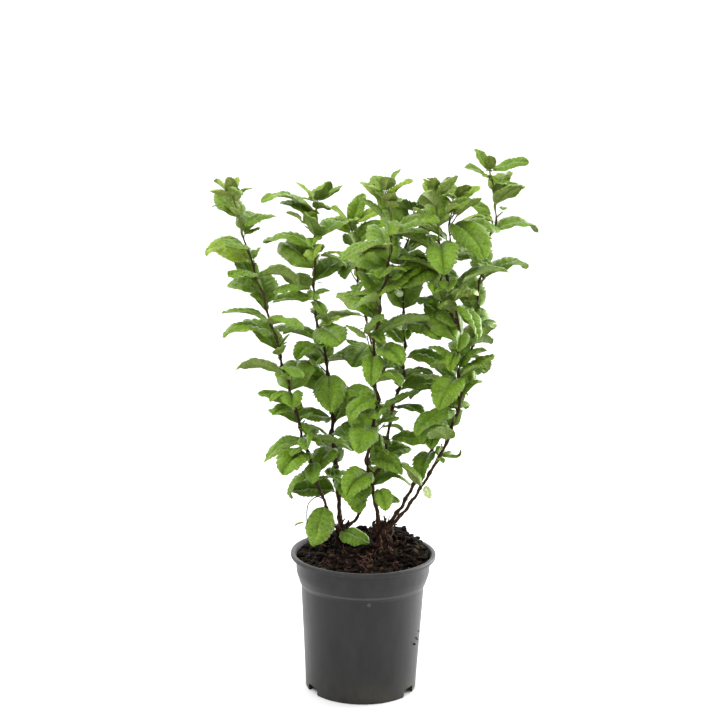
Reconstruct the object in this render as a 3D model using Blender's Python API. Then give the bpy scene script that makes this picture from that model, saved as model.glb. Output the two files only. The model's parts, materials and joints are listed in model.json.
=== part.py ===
"""A young spirea in a round black nursery pot.

Metres, +Z up. The origin is the centre of the pot's flat underside, the front of the
plant faces -Y and its right side is +X. Sizes below are in millimetres until MM is used.
"""

import bmesh
import bpy
import math
import random
from mathutils import Matrix, Vector, noise
from mathutils.bvhtree import BVHTree

for old in list(bpy.data.objects):
    bpy.data.objects.remove(old, do_unlink=True)

MM = 0.001
CLEAR = 0.3
UP = Vector((0.0, 0.0, 1.0))

# Pot, a thin moulded shell: radii and heights of its turned profile
RIM_RADIUS = 75.0
RIM_TOP = 145.5
LIP_DEPTH = 4.5
LIP_INNER_RADIUS = 71.0
COLLAR_TOP_RADIUS = 69.6
COLLAR_BEND_RADIUS = 69.0
COLLAR_BEND = 125.0
COLLAR_RADIUS = 66.0
COLLAR_FOOT = 115.5
STEP_FOOT = 111.5
WALL_TOP_RADIUS = 63.8
WALL_FOOT_RADIUS = 57.6
WALL = 1.2
EDGE_ROUND = 1.0
INNER_LIP_DROP = 2.0
FLOOR_CORNER = 0.5
CENTRE_PAD_RADIUS = 42.0
CHANNEL_HEIGHT = 9.0
FLOOR_THICKNESS = 1.5
POT_SIDES = 36
POT_ANGLE = 30.0
NOTCH_ANGLES = (-150.0, -30.0, 90.0)
NOTCH_WIDTH = 18.0
NOTCH_HEIGHT = 8.0
NOTCH_MARGIN = 4.0

# Compost: a low dome with a heap at the back right, worked flat under the woody crowns
COMPOST_EDGE = 139.0
COMPOST_DOME = 6.0
COMPOST_RADIUS = 67.2
HEAP_AT = (30.0, 30.0)
HEAP_HEIGHT = 8.0
HEAP_SPREAD = 20.0
COMPOST_RINGS = 8
COMPOST_ANGLE = 40.0
COMPOST_LUMP = 1.6
COMPOST_LUMP_WIDTH = 9.0

# Woody crowns at soil level: foot, top, foot radius, waist radius, top radius
LEFT_CROWN = {"foot": (-20.0, 12.0), "top": (-24.0, 14.0, 172.0), "radii": (8.0, 4.6, 3.4)}
RIGHT_CROWN = {"foot": (22.0, -8.0), "top": (19.0, -7.0, 181.0), "radii": (13.0, 9.6, 6.0)}
LEFT_STUBS = ((((-21, 13, 160), (-16, 10, 170), (-16, 9, 176)), (1.9, 1.5, 1.0)),)
RIGHT_STUBS = ((((22, -9, 172), (29, -12, 181), (31, -13, 190)), (1.5, 1.1, 0.8)),
               (((18, -10, 170), (10, -14, 178), (11, -15, 183)), (2.2, 1.7, 1.2)))
CROWN_SIDES = 11
CROWN_RINGS = 7
CROWN_KNOB = 0.16
CROWN_KNOB_WIDTH = 5.0
CROWN_TOP_ROUND = 0.6
CROWN_FLARE_POWER = 5
STUB_SIDES = 5
FLAT_MARGIN = 9.0

# Canes: bends that each one passes through, radius at its foot and at its tip, the height
# where its leaves begin, and the crown or cane that it springs from
CANES = {
    "left": {
        "bends": ((-24, 14, 170), (-32, 24, 240), (-39, 37, 322), (-54, 50, 388), (-56, 60, 440),
                  (-55, 72, 500)),
        "radii": (2.4, 0.9), "leaves_from": 192, "from": "left_crown"},
    "outer_left": {
        "bends": ((-22, 13, 152), (-42, 2, 200), (-62, -7, 262), (-84, -16, 342), (-100, -26, 402),
                  (-119, -34, 462), (-134, -42, 517)),
        "radii": (1.9, 0.8), "leaves_from": 214, "from": "left_crown"},
    "rear": {
        "bends": ((-23, 14, 164), (-7, 21, 176), (3, 30, 204), (7, 52, 262), (8, 78, 334), (-8, 101, 394),
                  (-20, 128, 468)),
        "radii": (1.8, 0.8), "leaves_from": 216, "from": "left_crown"},
    "centre": {
        "bends": ((16, -9, 174), (8, -17, 224), (3, -21, 254), (11, -32, 312), (6, -41, 352),
                  (11, -56, 412), (21, -74, 482), (14, -88, 530)),
        "radii": (2.1, 0.9), "leaves_from": 206, "from": "right_crown"},
    "right": {
        "bends": ((20, -9, 168), (42, -15, 195), (60, -20, 226), (80, -25, 266), (93, -32, 314),
                  (90, -37, 350), (88, -43, 402), (72, -50, 456), (62, -58, 522)),
        "radii": (2.0, 0.8), "leaves_from": 244, "from": "right_crown"},
    "tall": {
        "bends": ((18, -5, 168), (37, -1, 192), (49, 3, 214), (66, 8, 244), (81, 17, 296), (107, 28, 354),
                  (113, 39, 408), (121, 48, 458), (130, 54, 494), (122, 62, 536)),
        "radii": (2.1, 0.8), "leaves_from": 240, "from": "right_crown"},
    "forked": {
        "bends": ((8, -18, 231), (21, -15, 250), (25, -8, 292), (36, 0, 330), (37, 10, 388), (34, 19, 434),
                  (45, 30, 498)),
        "radii": (1.7, 0.8), "leaves_from": 262, "from": "centre_leaves_low"},
    "side": {
        "bends": ((88, -43, 396), (69, -36, 424), (77, -30, 464), (81, -20, 516)),
        "radii": (1.1, 0.7), "leaves_from": 396, "from": "right_leaves_high"},
}
CANE_SIDES = 6
CANE_RING_STEP = 9.0
BARK_ANGLE = 50.0
BLADE_ANGLE = 35.0
ROOM = 0.5
CUT_CLEAR = 0.42

# Leafy stretches of each cane, from its first leaf to its tip, with one seed for each
SEEDS = {
    "left": {"low": 4772, "middle": 4561, "high": 3048, "top": 2782},
    "outer_left": {"low": 2929, "middle": 4696, "high": 1607, "top": 1164},
    "rear": {"low": 130, "middle": 1801, "top": 3980},
    "centre": {"low": 2417, "middle": 2236, "high": 2642, "top": 511},
    "forked": {"low": 2330, "middle": 1920, "top": 422},
    "right": {"low": 1615, "middle": 2812, "high": 3073, "top": 286},
    "side": {"top": 1462},
    "tall": {"low": 2962, "middle": 3764, "high": 1624, "top": 2514},
}

# Stem rule: a node every couple of centimetres, each turned on from the last
NODE_STEP = 17.0
TURN = 140.0
TURN_SPREAD = 40.0
KINK = 1.3
STEM_SIDES = 5
SEED_SPACING = 1000
TWIG_CHANCE = 0.22
TWIG_LENGTH = (14.0, 30.0)
TWIG_RISE = (30.0, 60.0)
TWIG_RADIUS = 0.7
TWIG_SIDES = 3
TWIG_ROOT = 4.0
TWIG_LIFT = 0.5
TWIG_LEAVES = 3
TIP_LEAVES = 5
LAST_LEAF = 0.92

# Leaf rule: lengths are shares of a full leaf, the triple is lowest, highest and commonest
LEAF_LENGTH = 60.0
LEAF_SPREAD = (0.5, 1.1, 0.95)
LEAF_WIDTH = (0.54, 0.68)
LEAF_THICKNESS = 0.02
LEAF_RISE = (0.0, 50.0)
LEAF_DROOP = (10.0, 75.0)
LEAF_SWING = 35.0
LEAF_ROLL = 30.0
LEAF_FOLD = (8.0, 28.0)
LEAF_TRIES = 6
PETIOLE = 5.0
PETIOLE_HALF = 0.55
BLADE_STATIONS = ((0.0, 0.14), (0.32, 0.95), (0.7, 0.84))
LOWEST_LEAF_POINT = 149.0
STEEPEST_LEAF = 84.0
YOUNG_FROM = 0.82
YOUNG_RISE = 18.0
YOUNG_STIFFNESS = 0.7
TWIG_LEAF_SIZE = (0.42, 0.7)
TIP_LEAF_SIZE = (0.42, 0.78)
FOOT_LEAF = 0.78
LAST_NODE_LEAF = 0.6


def clamp(value, low, high):
    return max(low, min(high, value))


def material(name, colour, roughness, metallic=0.0):
    """A plain finish with the piece's own colour, roughness and metallic value."""
    finish = bpy.data.materials.new(name)
    finish.use_nodes = True
    shader = finish.node_tree.nodes["Principled BSDF"]
    shader.inputs["Base Color"].default_value = (*colour, 1.0)
    shader.inputs["Roughness"].default_value = roughness
    shader.inputs["Metallic"].default_value = metallic
    return finish


def place(name, verts, faces, finish, smooth_angle=None):
    """A mesh object from points in millimetres."""
    mesh = bpy.data.meshes.new(name)
    mesh.from_pydata([Vector(v) * MM for v in verts], [], faces)
    mesh.materials.append(finish)
    obj = bpy.data.objects.new(name, mesh)
    bpy.context.scene.collection.objects.link(obj)
    if smooth_angle is not None:
        mesh.shade_smooth()
        mesh.set_sharp_from_angle(angle=math.radians(smooth_angle))
    return obj


def ring_solid(rings):
    """Points and faces of a closed solid skinned over rings of equal count."""
    sides = len(rings[0])
    verts = [p for ring in rings for p in ring]
    faces = [tuple(range(sides - 1, -1, -1))]
    for r in range(len(rings) - 1):
        for i in range(sides):
            j = (i + 1) % sides
            faces.append((r * sides + i, r * sides + j, (r + 1) * sides + j, (r + 1) * sides + i))
    last = (len(rings) - 1) * sides
    faces.append(tuple(last + i for i in range(sides)))
    return verts, faces


def turned_solid(profile, sides):
    """A profile of (radius, height) turned about Z, its first and last points on the axis."""
    verts = [Vector((0.0, 0.0, profile[0][1]))]
    for radius, height in profile[1:-1]:
        for i in range(sides):
            a = 2.0 * math.pi * i / sides
            verts.append(Vector((radius * math.cos(a), radius * math.sin(a), height)))
    verts.append(Vector((0.0, 0.0, profile[-1][1])))
    rings = len(profile) - 2
    faces = []
    for i in range(sides):
        j = (i + 1) % sides
        faces.append((0, 1 + j, 1 + i))
        for r in range(rings - 1):
            low = 1 + r * sides
            faces.append((low + i, low + j, low + sides + j, low + sides + i))
        top = 1 + (rings - 1) * sides
        faces.append((top + i, top + j, len(verts) - 1))
    return verts, faces


def applied_boolean(obj, operation, others, smooth_angle=None):
    """Join or cut obj with a collection of solids, then remove those."""
    group = bpy.data.collections.new(obj.name + "_operands")
    for other in others:
        group.objects.link(other)
    change = obj.modifiers.new("join", "BOOLEAN")
    change.operation = operation
    change.operand_type = "COLLECTION"
    change.collection = group
    change.solver = "MANIFOLD"
    bpy.context.view_layer.update()
    joined = bpy.data.meshes.new_from_object(obj.evaluated_get(bpy.context.evaluated_depsgraph_get()))
    obj.modifiers.remove(change)
    old = obj.data
    obj.data = joined
    joined.name = old.name
    bpy.data.meshes.remove(old)
    for other in others:
        bpy.data.objects.remove(other, do_unlink=True)
    bpy.data.collections.remove(group)
    if smooth_angle is not None:
        joined.shade_smooth()
        joined.set_sharp_from_angle(angle=math.radians(smooth_angle))


def keep_main_shell(obj):
    """Drop any loose scrap that a join leaves beside the main solid."""
    mesh = bmesh.new()
    mesh.from_mesh(obj.data)
    unseen = set(mesh.verts)
    shells = []
    while unseen:
        shell = set()
        edge_of = [unseen.pop()]
        while edge_of:
            vert = edge_of.pop()
            shell.add(vert)
            for edge in vert.link_edges:
                other = edge.other_vert(vert)
                if other in unseen:
                    unseen.discard(other)
                    edge_of.append(other)
        shells.append(shell)
    shells.sort(key=len)
    for shell in shells[:-1]:
        bmesh.ops.delete(mesh, geom=list(shell), context="VERTS")
    mesh.to_mesh(obj.data)
    mesh.free()


class Route:
    """A smooth line through a cane's bends, measured along its length."""

    steps = 12

    def __init__(self, bends):
        bends = [Vector(b) for b in bends]
        ends = [bends[0] * 2 - bends[1]] + bends + [bends[-1] * 2 - bends[-2]]
        self.points = [bends[0]]
        for k in range(1, len(ends) - 2):
            for step in range(1, self.steps + 1):
                self.points.append(self.blend(ends[k - 1:k + 3], step / self.steps))
        self.reach = [0.0]
        for a, b in zip(self.points, self.points[1:]):
            self.reach.append(self.reach[-1] + (b - a).length)
        self.length = self.reach[-1]

    @staticmethod
    def blend(near, t):
        """One point of the Catmull-Rom curve between the middle two of four bends."""
        a, b, c, d = near
        bend, turn = 2 * a - 5 * b + 4 * c - d, 3 * b - a - 3 * c + d
        return 0.5 * (2 * b + (c - a) * t + bend * t ** 2 + turn * t ** 3)

    def at(self, distance):
        distance = clamp(distance, 0.0, self.length)
        k = 1
        while self.reach[k] < distance and k < len(self.reach) - 1:
            k += 1
        share = (distance - self.reach[k - 1]) / (self.reach[k] - self.reach[k - 1])
        return self.points[k - 1].lerp(self.points[k], share)

    def heading(self, distance):
        return (self.at(distance + 1.0) - self.at(distance - 1.0)).normalized()

    def at_height(self, height):
        """Distance along the route where it first rises past a height."""
        for k, point in enumerate(self.points):
            if point.z >= height:
                return self.reach[k]
        return self.length


def tube(points, radii, sides, ends=None):
    """A closed tapering limb along a line of points, its ends square to the given directions."""
    points = [Vector(point) for point in points]
    turn = 2.0 * math.pi / sides
    rings = []
    for k, point in enumerate(points):
        along = (points[min(k + 1, len(points) - 1)] - points[max(k - 1, 0)]).normalized()
        if ends and k in (0, len(points) - 1):
            along = ends[min(k, 1)]
        across = along.cross(Vector((0.0, 1.0, 0.0))).normalized()
        over = along.cross(across)
        spokes = [across * math.cos(i * turn) + over * math.sin(i * turn) for i in range(sides)]
        rings.append([point + spoke * radii[k] for spoke in spokes])
    return ring_solid(rings)


def outward(angle):
    return Vector((math.cos(math.radians(angle)), math.sin(math.radians(angle)), 0.0))


class Leaf:
    """One leaf as cross rings of four points, from a root inside its stem to its tip."""

    def __init__(self, root, angle, rise, length, droop, roll, fold, width):
        self.heading = outward(angle) * math.cos(math.radians(rise)) + UP * math.sin(math.radians(rise))
        self.side = self.heading.cross(UP).normalized()
        self.above = self.side.cross(self.heading)
        self.base = root + self.heading * PETIOLE * clamp(length / LEAF_LENGTH, 0.6, 1.0)
        self.length, self.droop, self.roll, self.fold = length, droop, roll, fold
        self.half_width = 0.5 * width * length
        aside, over = self.side * PETIOLE_HALF, self.above * PETIOLE_HALF
        self.rings = [[root - aside, root + over, root + aside, root - over]]
        for share, breadth in BLADE_STATIONS:
            self.rings.append(self.cross_ring(share, breadth))
        self.tip = self.midrib(1.0)

    def midrib(self, share):
        """The midrib bends down evenly along the blade, as an arc."""
        bend = max(1e-4, math.radians(self.droop) * share)
        turned = self.heading * math.sin(bend) - self.above * (1.0 - math.cos(bend))
        return self.base + turned * self.length * share / bend

    def cross_ring(self, share, breadth):
        """Four points round the midrib: one margin, the top, the other margin, the underside."""
        centre = self.midrib(share)
        along = Matrix.Rotation(-math.radians(self.droop) * share, 3, self.side) @ self.heading
        across = Matrix.Rotation(math.radians(self.roll) * min(1.0, 4.0 * share), 3, along) @ self.side
        normal = across.cross(along)
        half = self.half_width * breadth
        lift = normal * half * math.sin(math.radians(self.fold))
        spread = across * half * math.cos(math.radians(self.fold))
        petiole_thick = 2.0 * PETIOLE_HALF * (1.0 - 2.0 * share)
        thick = normal * 0.5 * max(petiole_thick, LEAF_THICKNESS * self.length)
        return [centre - spread + lift, centre + thick, centre + spread + lift, centre - thick]

    def solid(self, first_ring=0):
        verts, faces = ring_solid(self.rings[first_ring:])
        end = faces.pop()
        faces += [(end[i], end[(i + 1) % 4], len(verts)) for i in range(4)]
        return verts + [self.tip], faces


def draw_leaf(rng, root, angle, size, young):
    """One draw of a leaf at a node: young leaves are small and stand up, old ones arch over."""
    rise = min(STEEPEST_LEAF, rng.uniform(*LEAF_RISE) + YOUNG_RISE * young)
    droop = rng.uniform(*LEAF_DROOP) * (1.0 - YOUNG_STIFFNESS * young)
    turned = angle + rng.uniform(-LEAF_SWING, LEAF_SWING)
    length = LEAF_LENGTH * size * rng.triangular(*LEAF_SPREAD)
    roll = rng.uniform(-LEAF_ROLL, LEAF_ROLL)
    fold = rng.uniform(*LEAF_FOLD)
    return Leaf(root, turned, rise, length, droop, roll, fold, rng.uniform(*LEAF_WIDTH))


def leaf_size(share):
    """Leaves are a little smaller at a cane's foot and much smaller at its tip."""
    return min(1.0, FOOT_LEAF + 0.5 * share, LAST_NODE_LEAF + 2.0 * (1.0 - share))


def cane_radius(cane, distance):
    foot, tip = cane["radii"]
    return foot + (tip - foot) * distance / cane["route"].length


def tree_of(*solids):
    """One search tree over the faces of all the given solids."""
    verts, faces = [], []
    for points, polygons in solids:
        first = len(verts)
        verts += points
        faces += [tuple(first + i for i in polygon) for polygon in polygons]
    return BVHTree.FromPolygons(verts, faces)


class Growth:
    """The stem, side twigs and leaves of one leafy stretch, grown by a seeded rule."""

    def __init__(self, stretch, seed, kept_clear):
        self.stretch = stretch
        self.seed = seed
        self.kept_clear = kept_clear
        self.leaves = []
        self.twigs = []
        self.own = []
        nodes = self.lay_stem()
        self.stem_tree = tree_of(self.stem)
        for k, (at, angle, share) in enumerate(nodes):
            rng = self.draws_for(k)
            young = clamp((share - YOUNG_FROM) / (1.0 - YOUNG_FROM), 0.0, 1.0)
            self.try_leaf(rng, at, angle, leaf_size(share), young)
            if rng.random() < TWIG_CHANCE and share < YOUNG_FROM:
                self.try_twig(rng, at, angle)
        if stretch["top"]:
            rng = self.draws_for(len(nodes))
            root = self.points[-2].lerp(self.points[-1], LAST_LEAF)
            for i in range(TIP_LEAVES):
                turned = angle + (i + 1) * 360.0 / TIP_LEAVES
                self.try_leaf(rng, root, turned, rng.uniform(*TIP_LEAF_SIZE), 1.0)

    def draws_for(self, node):
        """Each node has its own run of draws, so one skipped leaf changes no other."""
        return random.Random(SEED_SPACING * self.seed + node + 1)

    def lay_stem(self):
        """The stem kinks away from each leaf, so it runs in a slight zigzag."""
        route, start, stop = self.stretch["route"], self.stretch["start"], self.stretch["stop"]
        leafy_from = self.stretch["leafy_from"]
        rng = random.Random(SEED_SPACING * self.seed)
        count = max(1, round((stop - start) / NODE_STEP))
        angle = rng.uniform(0.0, 360.0)
        begin = start + 0.5 * CLEAR
        end = stop if self.stretch["top"] else stop - 0.5 * CLEAR
        places, nodes = [begin], []
        self.points = [route.at(begin)]
        for i in range(count):
            distance = start + (i + rng.uniform(0.35, 0.65)) * (stop - start) / count
            angle += TURN + rng.uniform(-TURN_SPREAD, TURN_SPREAD)
            places.append(distance)
            self.points.append(route.at(distance) - outward(angle) * KINK)
            nodes.append((self.points[-1], angle, (distance - leafy_from) / (route.length - leafy_from)))
        places.append(end)
        self.points.append(route.at(end))
        radii = [cane_radius(self.stretch, place) for place in places]
        self.stem = tube(self.points, radii, STEM_SIDES, (route.heading(start), route.heading(stop)))
        return nodes

    def touches(self, whole, outer):
        """Whether a solid meets anything else, or its outer part meets what grows here."""
        if any(whole.overlap(tree) for tree in self.kept_clear):
            return True
        return any(outer.overlap(tree) for tree in self.own + [self.stem_tree])

    def try_leaf(self, rng, root, angle, size, young):
        """A leaf that would touch something is drawn again, and in the end skipped."""
        for _ in range(LEAF_TRIES):
            leaf = draw_leaf(rng, root, angle, size, young)
            blade = tree_of(leaf.solid(1))
            too_low = min(leaf.tip.z, leaf.rings[-1][3].z) < LOWEST_LEAF_POINT
            if not too_low and not self.touches(tree_of(leaf.solid()), blade):
                self.leaves.append(leaf)
                self.own.append(blade)
                return

    def try_twig(self, rng, node, angle):
        """A short side twig in the leaf's axil, with small leaves along its outer half."""
        rise = math.radians(rng.uniform(*TWIG_RISE))
        turned = angle + rng.uniform(-LEAF_SWING, LEAF_SWING)
        half = 0.5 * rng.uniform(*TWIG_LENGTH)
        heading = outward(turned) * math.cos(rise) + UP * math.sin(rise)
        elbow = node + heading * half
        points = [node, elbow, elbow + (heading + TWIG_LIFT * UP).normalized() * half]
        radii = (TWIG_RADIUS, TWIG_RADIUS, 0.7 * TWIG_RADIUS)
        twig = tube(points, radii, TWIG_SIDES)
        outer = tree_of(tube([node + heading * TWIG_ROOT] + points[1:], radii, TWIG_SIDES))
        if self.touches(tree_of(twig), outer):
            return
        self.twigs.append(twig)
        self.own.append(outer)
        start_angle = rng.uniform(0.0, 360.0)
        for i in range(TWIG_LEAVES):
            share = (i + 1) / TWIG_LEAVES
            root = elbow.lerp(points[2], LAST_LEAF * share)
            self.try_leaf(rng, root, start_angle + i * TURN, rng.uniform(*TWIG_LEAF_SIZE), 0.6 * share)

    def solids(self):
        return [self.stem] + self.twigs + [leaf.solid() for leaf in self.leaves]


def pot_profile():
    """The turned outline from the middle of the underside, over the rim, to the inner floor."""
    skirt_inner = WALL_FOOT_RADIUS - 2.0 * WALL
    pad_inner = CENTRE_PAD_RADIUS - WALL
    floor = CHANNEL_HEIGHT + FLOOR_THICKNESS
    lip_foot = RIM_TOP - LIP_DEPTH
    underside = [
        (0.0, 0.0), (CENTRE_PAD_RADIUS, 0.0), (CENTRE_PAD_RADIUS, CHANNEL_HEIGHT),
        (skirt_inner, CHANNEL_HEIGHT), (skirt_inner, 0.0), (WALL_FOOT_RADIUS - 0.5 * EDGE_ROUND, 0.0)]
    outer = [
        (WALL_FOOT_RADIUS, EDGE_ROUND), (WALL_TOP_RADIUS, STEP_FOOT), (COLLAR_RADIUS, COLLAR_FOOT),
        (COLLAR_BEND_RADIUS, COLLAR_BEND), (COLLAR_TOP_RADIUS, lip_foot - EDGE_ROUND),
        (RIM_RADIUS - EDGE_ROUND, lip_foot),
        (RIM_RADIUS, lip_foot + EDGE_ROUND), (RIM_RADIUS, RIM_TOP - EDGE_ROUND),
        (RIM_RADIUS - EDGE_ROUND, RIM_TOP)]
    inner = [
        (LIP_INNER_RADIUS, RIM_TOP), (LIP_INNER_RADIUS - EDGE_ROUND, RIM_TOP - INNER_LIP_DROP),
        (COLLAR_TOP_RADIUS - WALL, lip_foot - FLOOR_CORNER), *inner_wall(0.0),
        (pad_inner, floor), (pad_inner, FLOOR_THICKNESS), (0.0, FLOOR_THICKNESS)]
    return underside + outer + inner


def inner_wall(clear):
    """The inside of the wall from the collar down to the floor, or a line that far inside it."""
    floor = CHANNEL_HEIGHT + FLOOR_THICKNESS
    upper = [(COLLAR_BEND_RADIUS, COLLAR_BEND), (COLLAR_RADIUS, COLLAR_FOOT), (WALL_TOP_RADIUS, STEP_FOOT)]
    line = [(radius - WALL - clear, height) for radius, height in upper]
    return line + [(WALL_FOOT_RADIUS + FLOOR_CORNER - WALL - clear, floor + clear)]


def build_pot(finish):
    """The moulded shell, with three notches through its foot skirt."""
    pot = place("pot", *turned_solid(pot_profile(), POT_SIDES), finish)
    cutters = []
    for k, angle in enumerate(NOTCH_ANGLES):
        half = 0.5 * math.radians(NOTCH_WIDTH)
        inner, outer = CENTRE_PAD_RADIUS + NOTCH_MARGIN, WALL_FOOT_RADIUS + NOTCH_MARGIN
        corners = [(inner, -half), (outer, -half), (outer, half), (inner, half)]
        rings = []
        for height in (-1.0, NOTCH_HEIGHT):
            ring = [outward(angle + math.degrees(turn)) * radius for radius, turn in corners]
            rings.append([p + UP * height for p in ring])
        cutters.append(place("notch_cutter_%d" % k, *ring_solid(rings), finish))
    applied_boolean(pot, "DIFFERENCE", cutters, smooth_angle=POT_ANGLE)
    return pot


def compost_height(x, y):
    """Height of the compost's surface, level under each crown."""
    for crown in (LEFT_CROWN, RIGHT_CROWN):
        foot = crown["foot"]
        if math.hypot(x - foot[0], y - foot[1]) < crown["radii"][0] + FLAT_MARGIN:
            return crown_level(crown)
    lump = noise.noise(Vector((x, y, 0.0)) / COMPOST_LUMP_WIDTH)
    return compost_swell(x, y) + COMPOST_LUMP * lump


def compost_swell(x, y):
    away = min(1.0, math.hypot(x, y) / COMPOST_RADIUS)
    heap = math.exp(-((x - HEAP_AT[0]) ** 2 + (y - HEAP_AT[1]) ** 2) / (2.0 * HEAP_SPREAD ** 2))
    return COMPOST_EDGE + COMPOST_DOME * (1.0 - away ** 2) + HEAP_HEIGHT * heap * (1.0 - away ** 6)


def crown_level(crown):
    return compost_swell(*crown["foot"])


def build_compost(finish):
    """The filled inside of the pot, a hair clear of its wall and floor."""
    pad_inner = CENTRE_PAD_RADIUS - WALL - CLEAR
    floor = CHANNEL_HEIGHT + FLOOR_THICKNESS + CLEAR
    profile = [(0.0, FLOOR_THICKNESS + CLEAR), (pad_inner, FLOOR_THICKNESS + CLEAR), (pad_inner, floor)]
    profile += reversed(inner_wall(CLEAR))
    side_rings = len(profile)
    profile += [(COMPOST_RADIUS * (1.0 - k / COMPOST_RINGS), 0.0) for k in range(COMPOST_RINGS + 1)]
    verts, faces = turned_solid(profile, POT_SIDES)
    first_top = 1 + (side_rings - 1) * POT_SIDES
    for vert in verts[first_top:]:
        vert.z = compost_height(vert.x, vert.y)
    return place("compost", verts, faces, finish, smooth_angle=COMPOST_ANGLE)


def build_crown(name, crown, finish, stubs):
    """A knobbly woody base with a flared flat foot, where the canes spring from."""
    foot_level = crown_level(crown) + CLEAR
    foot = Vector((*crown["foot"], foot_level))
    top = Vector(crown["top"])
    flare, waist, neck = crown["radii"]
    rings = []
    for r in range(CROWN_RINGS + 1):
        share = r / CROWN_RINGS
        centre = foot.lerp(top, share)
        radius = waist + (neck - waist) * share + (flare - waist) * (1.0 - share) ** CROWN_FLARE_POWER
        if r == CROWN_RINGS:
            radius *= CROWN_TOP_ROUND
        ring = []
        for i in range(CROWN_SIDES):
            spoke = outward(360.0 * i / CROWN_SIDES)
            knob = 1.0 + CROWN_KNOB * noise.noise((centre + spoke * radius) / CROWN_KNOB_WIDTH)
            ring.append(centre + spoke * radius * knob)
        rings.append(ring)
    body = place(name, *ring_solid(rings), finish)
    parts = []
    for k, (points, radii) in enumerate(stubs):
        parts.append(place("%s_stub_%d" % (name, k), *tube(points, radii, STUB_SIDES), finish))
    applied_boolean(body, "UNION", parts, smooth_angle=BARK_ANGLE)
    return body


def stand_off(name, verts, faces):
    """A cutter a clearance larger all round than the solid that it stands for."""
    cutter = place(name, verts, faces, MATERIALS["bark"])
    normals = [Vector(v.normal) for v in cutter.data.vertices]
    for vert, normal in zip(cutter.data.vertices, normals):
        vert.co += normal * CUT_CLEAR * MM
    return cutter


def solid_of(obj):
    return [v.co / MM for v in obj.data.vertices], [tuple(p.vertices) for p in obj.data.polygons]


def cut_back(obj, bearer):
    """Cut a limb's root away so that it meets its bearer a clearance off."""
    applied_boolean(obj, "DIFFERENCE", [stand_off(obj.name + "_cutter", *bearer)], smooth_angle=BARK_ANGLE)
    keep_main_shell(obj)


def bare_solid(cane):
    """A cane's bare lower part, with small kinks to either side in turn."""
    route, stop = cane["route"], cane["leafy_from"] - 0.5 * CLEAR
    count = max(2, round(stop / CANE_RING_STEP))
    distances = [stop * k / count for k in range(count + 1)]
    points = [route.at(d) for d in distances]
    for k in range(2, count - 1):
        points[k] = points[k] + Vector((0.5 * KINK * (-1.0) ** k, 0.0, 0.0))
    radii = [cane_radius(cane, d) for d in distances]
    return tube(points, radii, CANE_SIDES, (route.heading(0.0), route.heading(cane["leafy_from"])))


def cane_envelope(cane, start, stop):
    """The room that a leafy stretch's stem may kink in, kept free of other leaves."""
    route = cane["route"]
    count = max(2, round((stop - start) / CANE_RING_STEP))
    distances = [start + (stop - start) * k / count for k in range(count + 1)]
    radii = [cane_radius(cane, d) + KINK + ROOM for d in distances]
    return tube([route.at(d) for d in distances], radii, CANE_SIDES)


def plan_stretches():
    """Where each leafy stretch starts and stops along its cane."""
    stretches = {}
    for cane_name, seeds in SEEDS.items():
        cane = CANES[cane_name]
        span = (cane["route"].length - cane["leafy_from"]) / len(seeds)
        for k, part in enumerate(seeds):
            name = "%s_leaves_%s" % (cane_name, part)
            start, stop = cane["leafy_from"] + k * span, cane["leafy_from"] + (k + 1) * span
            stretches[name] = dict(cane, start=start, stop=stop, seed=seeds[part], top=k == len(seeds) - 1)
            stretches[name]["envelope"] = cane_envelope(cane, start, stop)
    return stretches


def grow_stretch(name, seed, placed):
    """Grow one stretch clear of every placed solid and of every other stem's room."""
    others = [stretch["envelope"] for other, stretch in stretches.items() if other != name]
    return Growth(stretches[name], seed, [tree_of(*placed), tree_of(*others)])


def build_mass(name, growth, finish, bearer):
    """One leafy stretch as a single solid: its stem with twigs and leaves fused on."""
    mass = place(name, *growth.stem, finish)
    if bearer:
        cut_back(mass, bearer)
    solids = growth.twigs + [leaf.solid() for leaf in growth.leaves]
    parts = [place("%s_part_%d" % (name, k), *solid, finish) for k, solid in enumerate(solids)]
    applied_boolean(mass, "UNION", parts, smooth_angle=BLADE_ANGLE)
    keep_main_shell(mass)


MATERIALS = {
    "pot": material("pot_plastic", (0.052, 0.053, 0.056), 0.46),
    "compost": material("compost", (0.022, 0.014, 0.010), 0.95),
    "bark": material("bark", (0.075, 0.036, 0.024), 0.8),
    "low": material("leaf_low", (0.060, 0.190, 0.030), 0.5),
    "middle": material("leaf_middle", (0.082, 0.240, 0.030), 0.5),
    "high": material("leaf_high", (0.110, 0.270, 0.034), 0.48),
    "top": material("leaf_top", (0.230, 0.380, 0.050), 0.45),
}

for cane in CANES.values():
    cane["route"] = Route(cane["bends"])
    cane["leafy_from"] = cane["route"].at_height(cane["leaves_from"])

stretches = plan_stretches()
pot = build_pot(MATERIALS["pot"])
compost = build_compost(MATERIALS["compost"])
crowns = {
    "left_crown": build_crown("left_crown", LEFT_CROWN, MATERIALS["bark"], LEFT_STUBS),
    "right_crown": build_crown("right_crown", RIGHT_CROWN, MATERIALS["bark"], RIGHT_STUBS)}
bearers = {name: solid_of(crown) for name, crown in crowns.items()}
placed = [solid_of(pot), solid_of(compost)] + list(bearers.values())

bare_canes = {}
for name, cane in CANES.items():
    if cane["leafy_from"] > 0.0:
        bare_canes[name] = place(name + "_cane", *bare_solid(cane), MATERIALS["bark"])
        placed.append(solid_of(bare_canes[name]))

for name, stretch in stretches.items():
    growth = grow_stretch(name, stretch["seed"], placed)
    placed += growth.solids()
    bearers[name] = growth.stem
    root_bearer = bearers[stretch["from"]] if stretch["start"] == 0.0 else None
    build_mass(name, growth, MATERIALS[name.rsplit("_", 1)[1]], root_bearer)

for name, obj in bare_canes.items():
    cut_back(obj, bearers[CANES[name]["from"]])
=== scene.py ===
"""A young spirea in a round black nursery pot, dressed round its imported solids.

Lengths are in millimetres until MM is used. The front of the plant faces -Y, its right is +X.
"""

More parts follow.
